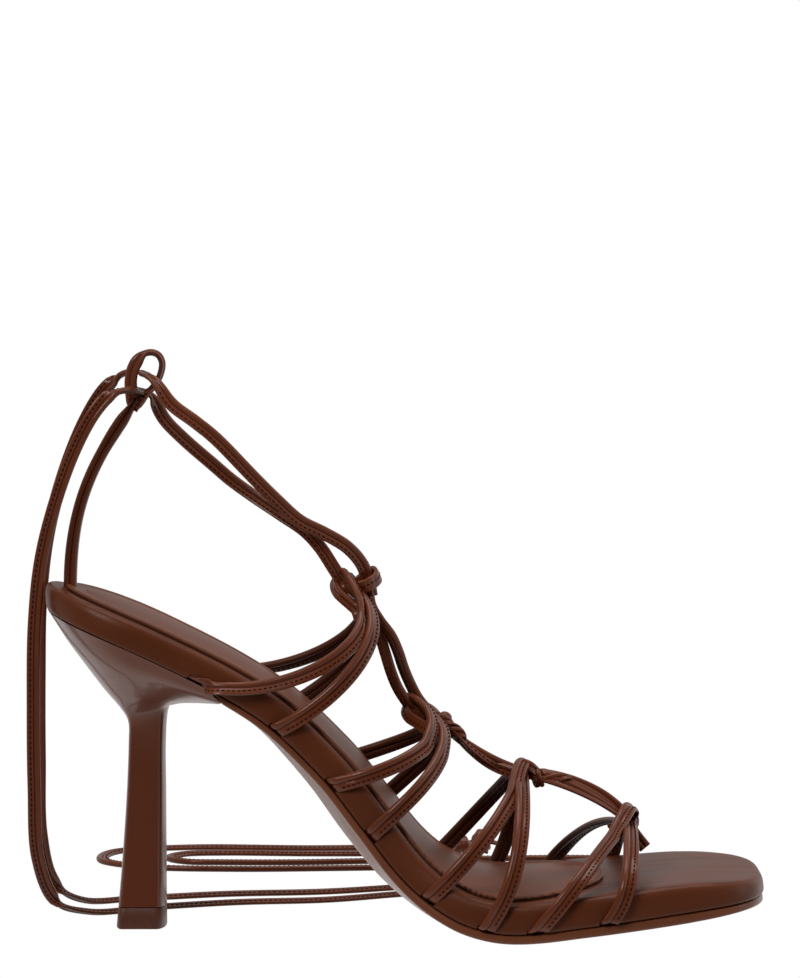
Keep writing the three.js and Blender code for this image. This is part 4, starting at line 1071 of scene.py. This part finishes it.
STRAP_TOP = np.array((HEEL_STRAP_SETBACK - HALF + HEEL_STRAP_LEAN, 0,
                      height(HEEL_STRAP_SETBACK - HALF) + HEEL_STRAP_HEIGHT - FOOTBED_THICKNESS * 0.5))
LOOP_AXIS = np.array((math.cos(LOOP_TILT), 0, math.sin(LOOP_TILT)))
LOOP_CENTRE = STRAP_TOP + LOOP_AXIS * (LOOP_LENGTH / 2 - LOOP_STRAND / 2)


def ankle_cord(which, steps=120):
    """A cord from inside the heel loop to the top knot; also where its tie leaves the loop."""
    side, passing = ANKLE[which]
    loop_at = LOOP_CENTRE + LOOP_AXIS * passing * LOOP_LENGTH
    leave = loop_at + np.array((-2.2, -side * (STRAP_WIDTH + 0.2), 0.6))
    inside = [loop_at + LATERAL * (-side * 1.6), loop_at + LATERAL * (side * 1.8)]
    near = loop_at + np.array((3.2, side * (STRAP_WIDTH + 0.4), -1.6))
    points = through([leave, *inside, near, *(np.array(p, float) for p in ANKLE_PATHS[which])], steps)
    over = unit(np.array((0.25, -0.9, 0.45)))
    in_loop = unit(np.array((0.35, 0, 0.94)))
    blend = smoothstep(np.arange(steps), 9, 24)[:, None]
    return points, in_loop * (1 - blend) + over * blend, leave, inside[0]


def ring_path(centre, direction, radius_up, radius_side, tilt=0.0, steps=40):
    """A loop round a direction, tilted about the side axis."""
    direction = unit(direction)
    up = np.array((-direction[2], 0, direction[0]))
    angle = np.linspace(0, 2 * math.pi, steps, endpoint=False)
    out = up * np.cos(angle)[:, None] + LATERAL * np.sin(angle)[:, None]
    lean = direction * (np.cos(angle) * math.tan(math.radians(tilt)) * radius_up)[:, None]
    points = (centre + up * (np.cos(angle) * radius_up)[:, None]
              + LATERAL * (np.sin(angle) * radius_side)[:, None] + lean)
    return points, out


def blob(shape, centre, direction, long, deep, wide):
    """A smooth core inside a knot."""
    direction = unit(direction)
    up = np.array((-direction[2], 0, direction[0]))
    polar = np.linspace(0, math.pi, 13)
    turn = np.linspace(0, 2 * math.pi, 18, endpoint=False)
    points = [centre + direction * long * math.cos(p) + up * deep * math.sin(p) * math.cos(t)
              + LATERAL * wide * math.sin(p) * math.sin(t) for p in polar for t in turn]
    shape.add(points, grid_faces(13, 18))


def twisted(start, end, radius, turns, phase, steps=44):
    """One strand of a twisted pair, with its outward directions and its size towards the ends."""
    line = end - start
    across = unit(np.cross(line, LATERAL))
    t = np.linspace(0, 1, steps)[:, None]
    angle = phase + turns * 2 * math.pi * t
    out = across * np.cos(angle) + LATERAL * np.sin(angle)
    bulge = np.sqrt(np.sin(math.pi * t))
    return start + line * t + out * radius * bulge, out, np.clip(bulge * 1.3, 0.3, 1.0)


def knots(knot_work, thread):
    """Soft cores, the straps drawn round them, and the cut ends at the toe."""
    for name, (at, _, long, deep, wide) in KNOTS.items():
        direction = unit(np.array((1.0, 0, slope_at(station(at)))))
        centre = knot_point(name) - normal(station(at)) * CORE_SINK
        blob(knot_work, centre, direction, long * KNOT * CORE[0], deep * KNOT * CORE[1],
             wide * KNOT * CORE[2])
    for name, (scale, centre, points) in WRAPS.items():
        path = through(points, 8 * len(points))
        section, marks = strap_section(1, scale)
        if name in FLAT_WRAPS:
            section, marks = flat_section(STRAP_WIDTH / 2 * scale, FLANGE / 2, 0.35), None
            stitch_run(thread, path, path - np.array(centre, float), FLAT_WRAPS[name], FLANGE / 2,
                       skip=1.0)
        sweep(knot_work, path, path - np.array(centre, float), section, marks)
    for centre, (long, deep, wide) in FILLS:
        blob(knot_work, np.array(centre, float), np.array((1.0, 0.0, -0.6)), long, deep, wide)
    for scale, radius, turns, start, end in TWISTS:
        section, marks = strap_section(1, scale)
        for phase in (0, math.pi):
            path, outs, size = twisted(np.array(start), np.array(end), radius, turns, phase)
            sweep(knot_work, path, outs, section[None] * size[:, :, None], marks)
    for half_wide, points in ENDS.values():
        path = through(points, 16)
        outs = np.tile(unit(np.array((0.12, -0.95, 0.2))), (16, 1))
        for ridge in (-0.94, 0.94):
            bar = flat_section(half_wide, half_wide, half_wide * 0.75)
            sweep(knot_work, path, outs, bar + (ridge * half_wide, 0))
        stitch_run(thread, path, outs, 0.0, half_wide * 0.45, skip=0.6)


def heel_strap_points(depth, steps=40):
    """The line of the strap behind the heel."""
    root_x = HEEL_STRAP_SETBACK - HALF
    root = np.array((root_x, 0, height(root_x) + FOOTBED_THICKNESS - depth))
    low = root + np.array((-HEEL_STRAP_LEAN * 0.055, 0, depth + HEEL_STRAP_HEIGHT * 0.36))
    high = STRAP_TOP + np.array((-HEEL_STRAP_LEAN * 0.66, 0, -HEEL_STRAP_HEIGHT * 0.265))
    return bezier((root, low, high, STRAP_TOP), np.linspace(0, 1, steps))


def grooved_bar(half_wide, half_thick):
    """A folded strap seen from its edge: a rounded bar with a crease down both narrow sides."""
    bar = [tuple(p) for p in flat_section(half_wide, half_thick, 1.1)]
    crease = [(half_wide, 0.3), (half_wide - 0.45, 0.0), (half_wide, -0.3)]
    quarter = len(bar) // 4
    left = [(-x, y) for x, y in crease]
    right = [(x, -y) for x, y in crease]
    return np.array(bar[:2 * quarter] + left + bar[2 * quarter:] + right)


def heel_strap(strap, thread):
    """The strap behind the heel, its loop, and its end folded back and sewn down."""
    points = heel_strap_points(HEEL_STRAP_ROOT, 60)
    outs = np.tile((-1.0, 0.0, 0.0), (len(points), 1))
    u = np.linspace(0, 1, len(points))
    thick = (1.04 - 0.08 * smoothstep(u, 0.1, 0.4) + 0.1 * smoothstep(u, 0.7, 0.84)
             - 0.5 * smoothstep(u, 0.88, 1.0))
    section = grooved_bar(STRAP_WIDTH / 2, HEEL_STRAP_THICKNESS / 2)
    sections = section[None] * np.stack((np.ones_like(u), thick), axis=1)[:, None]
    sweep(strap, points, outs, sections)
    loop = through([*LOOP, *LOOP[:2]], 90)
    around = loop - np.mean(np.array(LOOP), axis=0)
    around /= np.linalg.norm(around, axis=1, keepdims=True)
    turn = mix(0.42, 1.0, smoothstep(loop[:, 0], -82.0, -77.5))[:, None]
    section, marks = strap_section(1, LOOP_SCALE)
    sweep(strap, loop, around * turn - LATERAL * (1 - turn), section, marks)
    fold = through(LOOP_FOLD, 20)
    sweep(strap, fold, np.tile((0.0, -1.0, 0.0), (20, 1)), flat_section(1.05, 0.6, 0.35))
    stitch_run(thread, fold, np.tile((0.0, -1.0, 0.0), (20, 1)), 0.0, 0.75, skip=0.8)


# Sole layers

SOLE_PLAN = {"from": -HALF, "to": HALF + TOE_REACH, "back": 26, "front": 24, "back_power": 2.2,
             "front_power": 3.6, "slant": 0}
LINER_PLAN = {"from": LINER_SETBACK - HALF, "to": LINER_SETBACK + LINER_LENGTH - HALF, "back": 21,
              "front": 36, "back_power": 2.2, "front_power": 2.3, "slant": 0}
OUTSOLE_PLAN = {"from": BREAST - BREAST_SLANT + CLEARANCE, "to": HALF + TOE_REACH - OUTSOLE_MARGIN,
                "back": 1.5, "front": 24, "back_power": 6, "front_power": 3.6, "slant": BREAST_SLANT + 1}


def bed_top(x):
    """Thickness of the footbed at a place."""
    return FOOTBED_THICKNESS * bed_share(share(x))


def outline(plan, margin, side_margin=0.0, shift=0.0, cap=18, step=1.5):
    """A layer's outer and inner edge from its back to its front."""
    back = max(plan["back"] - margin, 0.2)
    front = max(plan["front"] - margin, 0.2)
    start = plan["from"] + shift + margin
    end = plan["to"] - margin
    a = np.radians(np.linspace(0, 90, cap + 1))
    x_back = start + back * (1 - np.cos(a) ** (2 / plan["back_power"]))
    x_front = end - front * (1 - np.cos(a) ** (2 / plan["front_power"]))
    low = plan["from"] + plan["back"] + plan["slant"] + 1
    high = plan["to"] - plan["front"] - 1
    between = np.linspace(low, high, max(int((high - low) / step), 3))
    x = np.concatenate((x_back, between, x_front[::-1]))
    full = np.concatenate((np.sin(a) ** (2 / plan["back_power"]), np.ones(len(between)),
                           (np.sin(a) ** (2 / plan["front_power"]))[::-1]))
    full[0] = full[-1] = 0
    outer = -full * (half_width(x, -1) - margin - side_margin)
    inner = full * (half_width(x, 1) - margin - side_margin)
    return x, outer, inner, full


def slab(plan, edges, below=10, above=14, bottom=None, top=None, cap=18, step=1.5, wave=None, waved=0,
         rim=0):
    """A layer of the sole as one closed mesh of rings across the shoe.

    The edges run from the lowest to the highest, each with its level, its margin all round, its
    further margin at the sides and its shift forward. The wave draws in the first few of them, and
    the rim says how many faces of the edge take the second finish.
    """
    sides = []
    for number, (up, margin, side, shift) in enumerate(edges):
        x, outer, inner, full = outline(plan, margin, side, shift, cap, step)
        if number < waved:
            outer, inner = outer * (1 - wave(x, outer)), inner * (1 - wave(x, inner))
        sides.append((x, outer, inner, full, up(x)))

    def face(layer, count, crown, sign):
        x, outer, inner, full, up = layer
        columns = []
        for c in range(1, count):
            t = c / count
            lift = crown(x) * (1 - (2 * t - 1) ** 2) * np.sqrt(full) * sign if crown is not None else 0
            columns.append(on_last(x, outer + (inner - outer) * t, up + lift))
        return columns

    columns = [on_last(x, outer, up) for x, outer, inner, full, up in sides]
    columns += face(sides[-1], above, top, 1)
    columns += [on_last(x, inner, up) for x, outer, inner, full, up in reversed(sides)]
    columns += face(sides[0], below, bottom, -1)[::-1]
    grid = np.stack(columns, axis=1)
    marks = [0] * len(columns)
    for k in range(rim):
        marks[k] = marks[2 * len(edges) + above - 3 - k] = 1
    shape = Shape()
    shape.add(grid.reshape(-1, 3), grid_faces(*grid.shape[:2]), marks * (len(grid) - 1))
    return shape


def level_rows(rows, height_of, side=0.0):
    """Edge rows of a slab from (level, margin) pairs."""
    return [((lambda x, level=level: height_of(x, level)), margin, side, 0.0) for level, margin in rows]


def footbed():
    """The covered board, with the slots that take the folded strap ends."""
    rows = ((0.0, 0.9), (0.03, 0.45), (0.09, 0.18), (0.2, 0.05), (0.45, 0.0), (0.62, 0.02), (0.76, 0.18),
            (0.86, 0.5), (0.93, 1.0), (0.98, 1.75), (1.0, 2.6))
    shape = slab(SOLE_PLAN, level_rows(rows, lambda x, level: mix(CLEARANCE / 2, bed_top(x), level)))
    piece = build("footbed_wrap", shape, ["covered_footbed"], ["footbed"])
    cut_pockets(piece)


def sock_liner():
    """A thin padded sheet with a raised lip, cut raw and wavy round its front."""
    def up(x, level):
        """Height of a level between the sheet's two faces."""
        return bed_top(x) + CLEARANCE * 0.5 + LINER_THICKNESS * level

    rows = ((0.0, 0.35), (0.35, 0.05), (0.75, 0.0), (1.05, 0.25), (1.25, 0.75), (1.25, 1.3), (1.05, 1.9),
            (0.88, 2.4), (0.9, 3.2), (1.0, 5.0))

    def wave(x, y):
        """How far the cut edge is drawn in, as a share of the half width there."""
        ripple = 0.5 + 0.5 * np.sin(x * 2.6 + np.abs(y) * 1.7)
        return ripple * smoothstep(x, -20, 10) * 0.5 / np.maximum(np.abs(y), 4)

    shape = slab(LINER_PLAN, level_rows(rows, up, LINER_MARGIN), above=18,
                 top=lambda x: LINER_CROWN + 0 * x, cap=70, step=0.6, wave=wave, waved=5, rim=2)
    # The rim faces of the cut edge take the raw edge finish, darkened as painted shade
    pad = build("sock_liner_pad", shape, ["padded_liner", "raw_edge_and_shade"], ["sock_liner"])


def outsole():
    """The thin sole under the forefoot and waist, with a slanted back end at the heel's breast."""
    def up(x, level):
        """Height of a level between the footbed and the sole's lower edge."""
        return -mix(CLEARANCE / 2, OUTSOLE_THICKNESS * edge_share(share(x)), level)

    rows = ((1.0, 2.1, BREAST_SLANT + 1), (0.97, 1.4, BREAST_SLANT + 0.9), (0.88, 0.9, BREAST_SLANT * 0.9),
            (0.72, 0.7, BREAST_SLANT * 0.72 + 0.6), (0.45, 0.6, BREAST_SLANT * 0.45 + 0.4),
            (0.25, 0.7, BREAST_SLANT * 0.25 + 0.3), (0.1, 0.75, BREAST_SLANT * 0.1), (0.0, 1.2, 0.0))
    edges = [((lambda x, level=level: up(x, level)), 0.0, margin, shift) for level, margin, shift in rows]
    shape = slab(OUTSOLE_PLAN, edges, below=20, above=6,
                 bottom=lambda x: OUTSOLE_THICKNESS * belly_share(share(x)))
    shape.corners[0][:, 2] = np.maximum(shape.corners[0][:, 2], 0.0)
    build("outsole_shell", shape, ["burnished_sole"], ["outsole"])


# Heel

def rounded(v, cap, power):
    """Grows from 0 to 1 over the cap, as the quarter of an oval."""
    inside = np.clip(1 - v / cap, 0, 1)
    return np.where(v >= cap, 1.0, (1 - inside ** power) ** (1 / power))


# Places round a heel ring from its back to its front, closer together at both ends
HEEL_V = 0.5 - 0.5 * np.cos(np.linspace(0, math.pi, 41))


def heel_ring(back, front, half, spread, kind):
    """One ring round the heel, from the pin's plain oval to the outline of the seat."""
    v = HEEL_V
    seat_to = BREAST - BREAST_SLANT
    seat_x = mix(-HALF + SEAT_BACK, seat_to, v)
    pin = half * rounded(v, 0.14, 3) * rounded(1 - v, 0.2, 2.2)
    seat = rounded(v, SEAT_ROUND / SEAT_LENGTH, 2.2) * rounded(1 - v, 0.03, 5)
    outer = -mix(pin, seat * (half_width(seat_x, -1) - SEAT_MARGIN), spread)
    inner = mix(pin, seat * (half_width(seat_x, 1) - SEAT_MARGIN), spread)
    outer[[0, -1]] = inner[[0, -1]] = 0
    if kind == "seat":
        line = on_last(seat_x, 0 * v, SEAT_GAP + 0 * v)
    else:
        line = np.stack((mix(back[0], front[0], v), 0 * v, mix(back[1], front[1], v)), axis=1)
        if kind == "flare":
            chord = mix(height(-HALF), height(seat_to), v)
            line[:, 2] += spread * (height(seat_x) - chord)
    return np.vstack((np.stack((line[:, 0], outer, line[:, 2]), axis=1),
                      np.stack((line[:, 0], inner, line[:, 2]), axis=1)[1:-1][::-1]))


def pin_at(z):
    """The pin's back, front and half width at a height."""
    flare = (1 - z / NECK_HEIGHT) ** 1.4
    back = -HALF + mix(PIN_SETBACK + 0.9, TIP_SETBACK, flare)
    long = mix(NECK_LENGTH, TIP_LENGTH, flare)
    return (back, z), (back + long, z), mix(NECK_WIDTH, TIP_WIDTH, flare) / 2, 0.0, "pin"


def heel():
    """Pin, flare and seat in one moulding."""
    top = height(-HALF)
    rings = [heel_ring(*pin_at(z)) for z in (LIFT_HEIGHT + CLEARANCE, 16, 29, 43, NECK_HEIGHT)]
    for back, back_height, front, front_height, spread in reversed(FLARE):
        rings.append(heel_ring((back * SEAT_LENGTH - HALF, back_height * top),
                               (front * SEAT_LENGTH - HALF, front_height * top),
                               NECK_WIDTH / 2, spread, "flare"))
    rings.append(heel_ring((0, 0), (0, 0), 0, 1.0, "seat"))
    rings = np.array(rings)
    padded = np.concatenate((rings[:1] * 2 - rings[1:2], rings, rings[-1:] * 2 - rings[-2:-1]))
    fine = []
    for i in range(1, len(padded) - 2):
        for t in np.linspace(0, 1, 7)[:-1]:
            a, b, c, d = padded[i - 1:i + 3]
            fine.append(0.5 * (2 * b + (c - a) * t + (2 * a - 5 * b + 4 * c - d) * t * t
                               + (3 * b - a - 3 * c + d) * t ** 3))
    fine.append(rings[-1])
    fine = np.array(fine)
    shape = Shape()
    shape.add(fine.reshape(-1, 3), capped_faces(*fine.shape[:2]))
    build("heel_block", shape, ["lacquered_heel"], ["heel"], angle=32)


def top_lift():
    """The wearing piece under the pin."""
    shape = Shape()
    rings = []
    for z, inset in ((0.0, 0.5), (0.15, 0.2), (0.5, 0.0), (LIFT_HEIGHT - 0.4, 0.0), (LIFT_HEIGHT, 0.25)):
        ring = heel_ring(*pin_at(z))
        centre = ring.mean(axis=0)
        reach = (ring - centre) * np.array((1, 1, 0))
        size = np.linalg.norm(reach, axis=1, keepdims=True)
        rings.append(ring - reach / np.maximum(size, 1e-6) * inset)
    grid = np.array(rings)
    shape.add(grid.reshape(-1, 3), capped_faces(*grid.shape[:2]))
    build("top_piece", shape, ["polyurethane_lift"], ["top_lift"])


# Ties

def tie_route(name):
    """Points of a tie, starting in the heel loop."""
    _, _, leave, inside = ankle_cord(0 if name == "tie_inner" else 1)
    leaving = unit(leave - inside)
    start = leave + leaving * CLEARANCE
    return [start, start + leaving * TIE_DIAMETER * 0.6, *(np.array(p, float) for p in ROUTES[name])]


def tie_outs(points):
    """The strap's face turns towards the side while it hangs, and lies flat on the floor."""
    along = np.gradient(points, axis=0)
    upright = np.abs(along[:, 2:]) / np.linalg.norm(along, axis=1)[:, None]
    hang = smoothstep(upright, 0.35, 0.85)
    return UP * (1 - hang) + np.array((0.35, -0.93, 0.1)) * hang


def tie(name, thread):
    """One long tie with its end knot."""
    points = through(tie_route(name), 460)
    outs = tie_outs(points)
    cord = Shape()
    section, marks = strap_section(1, TIE_SCALE)
    section[:, 1] -= 0.25
    sweep(cord, points, outs, section, marks)
    piece = build(name + "_cord", cord, STRAP_SKINS, [name])
    stitch_run(thread, points, outs, -1.3 * TIE_SCALE, FLANGE / 2 * TIE_SCALE - 0.25)
    end = points[-1]
    half = TIE_KNOT / 2
    centre = np.array((end[0] + half + 2 * CLEARANCE, end[1], half + CLEARANCE))
    ahead = np.array((1.0, 0, 0))
    knot = Shape()
    blob(knot, centre, ahead, half * 0.8, half * 0.72, half * 0.78)
    for offset, tilt in ((-1.2, 26), (1.2, -24)):
        ring, ring_outs = ring_path(centre + ahead * offset, ahead, half - 1.15, half - 1.1, tilt)
        sweep(knot, ring, ring_outs, flat_section(1.35, 1.0, 0.9), closed=True)
    section, marks = strap_section(1, 0.7)
    tail_end = np.array((centre[0] + half * 0.9 + TIE_TAIL, centre[1], TIE_DIAMETER / 2 + 0.3))
    stub = through([end - ahead * 0.3, mix(end, centre, 0.5), centre], 8)
    sweep(knot, stub, np.tile(UP, (8, 1)), section, marks)
    tail = through([centre, mix(centre, tail_end, 0.5), tail_end], 12)
    sweep(knot, tail, np.tile(UP, (12, 1)), section, marks)
    end_knot = build(name + "_knot", knot, STRAP_SKINS,
                     [name.replace("tie", "tie_knot")])
    path_length(points) * 0.001


# Settings, operators and panel

def colour_setting(name, description, colour):
    """A colour of the panel."""
    return bpy.props.FloatVectorProperty(name=name, description=description, subtype="COLOR", size=3,
                                         min=0.0, max=1.0, default=linear(colour))


class SandalLook(bpy.types.PropertyGroup):
    """Finishes, sewing and studio light of the sandal."""
    strap_colour: colour_setting("Straps", "Dye of the wrapped calf straps and ties", "#522512")
    bed_colour: colour_setting("Footbed", "Dye of the leather over the footbed", "#48210f")
    liner_colour: colour_setting("Sock liner", "Dye of the padded lining leather", "#552b18")
    # The liner's edge colour is darker than the liner: painted shade along the step of its cut edge
    edge_and_shade_colour: colour_setting("Liner edge", "Raw cut edge of the lining leather", "#4a2716")
    sole_colour: colour_setting("Outsole", "Burnished sole leather", "#5e3320")
    heel_colour: colour_setting("Heel", "Lacquer of the moulded heel", "#4c2110")
    lift_colour: colour_setting("Top lift", "Cast top piece under the heel", "#462417")
    thread_colour: colour_setting("Thread", "Waxed sewing thread", "#26100a")
    grain: bpy.props.FloatProperty(name="Grain", description="Width of one pebble of the leather's grain",
                                   default=0.0008, min=0.0002, max=0.003, unit="LENGTH", precision=5)
    stitch_pitch: bpy.props.FloatProperty(name="Stitch pitch", description="Distance from stitch to stitch",
                                          default=0.0016, min=0.001, max=0.006, unit="LENGTH", precision=5)
    stitch_length: bpy.props.FloatProperty(name="Stitch length", description="Thread seen of each stitch",
                                           default=0.0011, min=0.0005, max=0.005, unit="LENGTH",
                                           precision=5)
    thread: bpy.props.FloatProperty(name="Thread size", description="Diameter of the sewing thread",
                                    default=0.0004, min=0.0001, max=0.001, unit="LENGTH", precision=5)
    key_power: bpy.props.FloatProperty(name="Key light", description="Power of the main soft light",
                                       default=22.0, min=0.0, unit="POWER")
    front_glow: bpy.props.FloatProperty(name="Front glow", description="Brightness of the room in front",
                                        default=0.08, min=0.0, max=1.0)
    side_glow: bpy.props.FloatProperty(name="Side glow", description="Brightness of the room at the sides",
                                       default=0.6, min=0.0, max=1.0)
    back_glow: bpy.props.FloatProperty(name="Back glow", description="Brightness of the sweep behind",
                                       default=0.6, min=0.0, max=1.0)
    floor_glow: bpy.props.FloatProperty(name="Floor glow",
                                        description="White table mirrored in glossy parts",
                                        default=0.85, min=0.0, max=1.0)
    right_glow: bpy.props.FloatProperty(name="Right glow",
                                        description="White panel mirrored at the toe's side",
                                        default=0.85, min=0.0, max=3.0)
    floor_bounce: bpy.props.FloatProperty(name="Floor bounce", description="Soft light back from the table",
                                          default=0.42, min=0.0, max=1.0)


class SANDAL_OT_stage(bpy.types.Operator):
    """Set up the camera, the studio light and the white floor."""
    bl_idname = "sandal.stage"
    bl_label = "Stage"

    def execute(self, context):
        make_camera()
        make_light()
        make_floor()
        return {"FINISHED"}


class SANDAL_OT_ties(bpy.types.Operator):
    """Lay the two long ties from the heel loop down to the floor."""
    bl_idname = "sandal.ties"
    bl_label = "Ties"

    def execute(self, context):
        thread = Shape()
        for name in ROUTES:
            tie(name, thread)
        build("tie_stitches", thread, ["waxed_thread"])
        return {"FINISHED"}


class SANDAL_OT_sole(bpy.types.Operator):
    """Make the covered footbed, the padded sock liner and the outsole."""
    bl_idname = "sandal.sole"
    bl_label = "Footbed, liner and outsole"

    def execute(self, context):
        footbed()
        sock_liner()
        outsole()
        return {"FINISHED"}


class SANDAL_OT_heel(bpy.types.Operator):
    """Make the lacquered heel and its top lift."""
    bl_idname = "sandal.heel"
    bl_label = "Heel and top lift"

    def execute(self, context):
        heel()
        top_lift()
        return {"FINISHED"}


class SANDAL_OT_straps(bpy.types.Operator):
    """Make the side straps, the cords down the foot and their stitches."""
    bl_idname = "sandal.straps"
    bl_label = "Straps and cords"

    def execute(self, context):
        thread = Shape()
        straps = Shape()
        side_straps(straps, thread)
        build("side_straps", straps, STRAP_SKINS, ["upper"])
        cords = Shape()
        for row in SPINE:
            points, outs = spine_cord(row)
            section, marks = strap_section(1, SPINE_SCALE)
            sweep(cords, points, outs, section, marks)
            if row[0] != "ball":
                stitch_run(thread, points, outs, -1.0, FLANGE * 0.4)
        for path in SPINE_PATHS:
            points = through(path, 60)
            outs = np.cross(LATERAL, np.gradient(points, axis=0)) + LATERAL * -0.9
            section, marks = strap_section(1, SLIM_SCALE)
            sweep(cords, points, outs, section, marks)
            stitch_run(thread, points, outs, -1.2, FLANGE * 0.43)
        for which in (0, 1):
            points, outs, _, _ = ankle_cord(which)
            section, marks = strap_section(1, ANKLE_SCALE)
            sweep(cords, points, outs, section, marks)
            stitch_run(thread, points[16:], outs[16:], -1.3, FLANGE * 0.46)
            stitch_run(thread, points[16:], outs[16:], -1.3, -FLANGE * 0.46, -1)
        build("foot_cords", cords, STRAP_SKINS)
        build("strap_stitches", thread, ["waxed_thread"])
        return {"FINISHED"}


class SANDAL_OT_knots(bpy.types.Operator):
    """Tie the four knots over the foot, with their cut ends."""
    bl_idname = "sandal.knots"
    bl_label = "Knots"

    def execute(self, context):
        knot_work = Shape()
        thread = Shape()
        knots(knot_work, thread)
        build("foot_knots", knot_work, STRAP_SKINS)
        build("knot_stitches", thread, ["waxed_thread"])
        return {"FINISHED"}


class SANDAL_OT_heel_strap(bpy.types.Operator):
    """Make the strap behind the heel with its loop."""
    bl_idname = "sandal.heel_strap"
    bl_label = "Heel strap"

    def execute(self, context):
        strap = Shape()
        thread = Shape()
        heel_strap(strap, thread)
        build("heel_strap_band", strap, STRAP_SKINS, ["heel_strap"])
        build("heel_strap_stitches", thread, ["waxed_thread"])
        return {"FINISHED"}


class SANDAL_PT_panel(bpy.types.Panel):
    """Sandal settings and the steps that build it."""
    bl_idname = "SANDAL_PT_panel"
    bl_label = "Lace Up Sandal"
    bl_space_type = "VIEW_3D"
    bl_region_type = "UI"
    bl_category = "Sandal"

    def draw(self, context):
        for name in SandalLook.__annotations__:
            self.layout.prop(context.scene.sandal, name)
        for operator in STEPS:
            self.layout.operator(operator.bl_idname)


STEPS = (SANDAL_OT_stage, SANDAL_OT_ties, SANDAL_OT_sole, SANDAL_OT_heel, SANDAL_OT_straps,
         SANDAL_OT_knots, SANDAL_OT_heel_strap)


def register():
    """Adds the settings, the steps and the panel."""
    for cls in (SandalLook, *STEPS, SANDAL_PT_panel):
        bpy.utils.register_class(cls)
    bpy.types.Scene.sandal = bpy.props.PointerProperty(type=SandalLook)


def unregister():
    """Takes them away again."""
    del bpy.types.Scene.sandal
    for cls in (SANDAL_PT_panel, *reversed(STEPS), SandalLook):
        bpy.utils.unregister_class(cls)


def main():
    """Builds the sandal."""
    register()
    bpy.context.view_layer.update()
    bpy.ops.sandal.stage()
    bpy.ops.sandal.ties()
    bpy.ops.sandal.sole()
    bpy.ops.sandal.heel()
    bpy.ops.sandal.straps()
    bpy.ops.sandal.knots()
    bpy.ops.sandal.heel_strap()


if __name__ == "__main__":
    main()
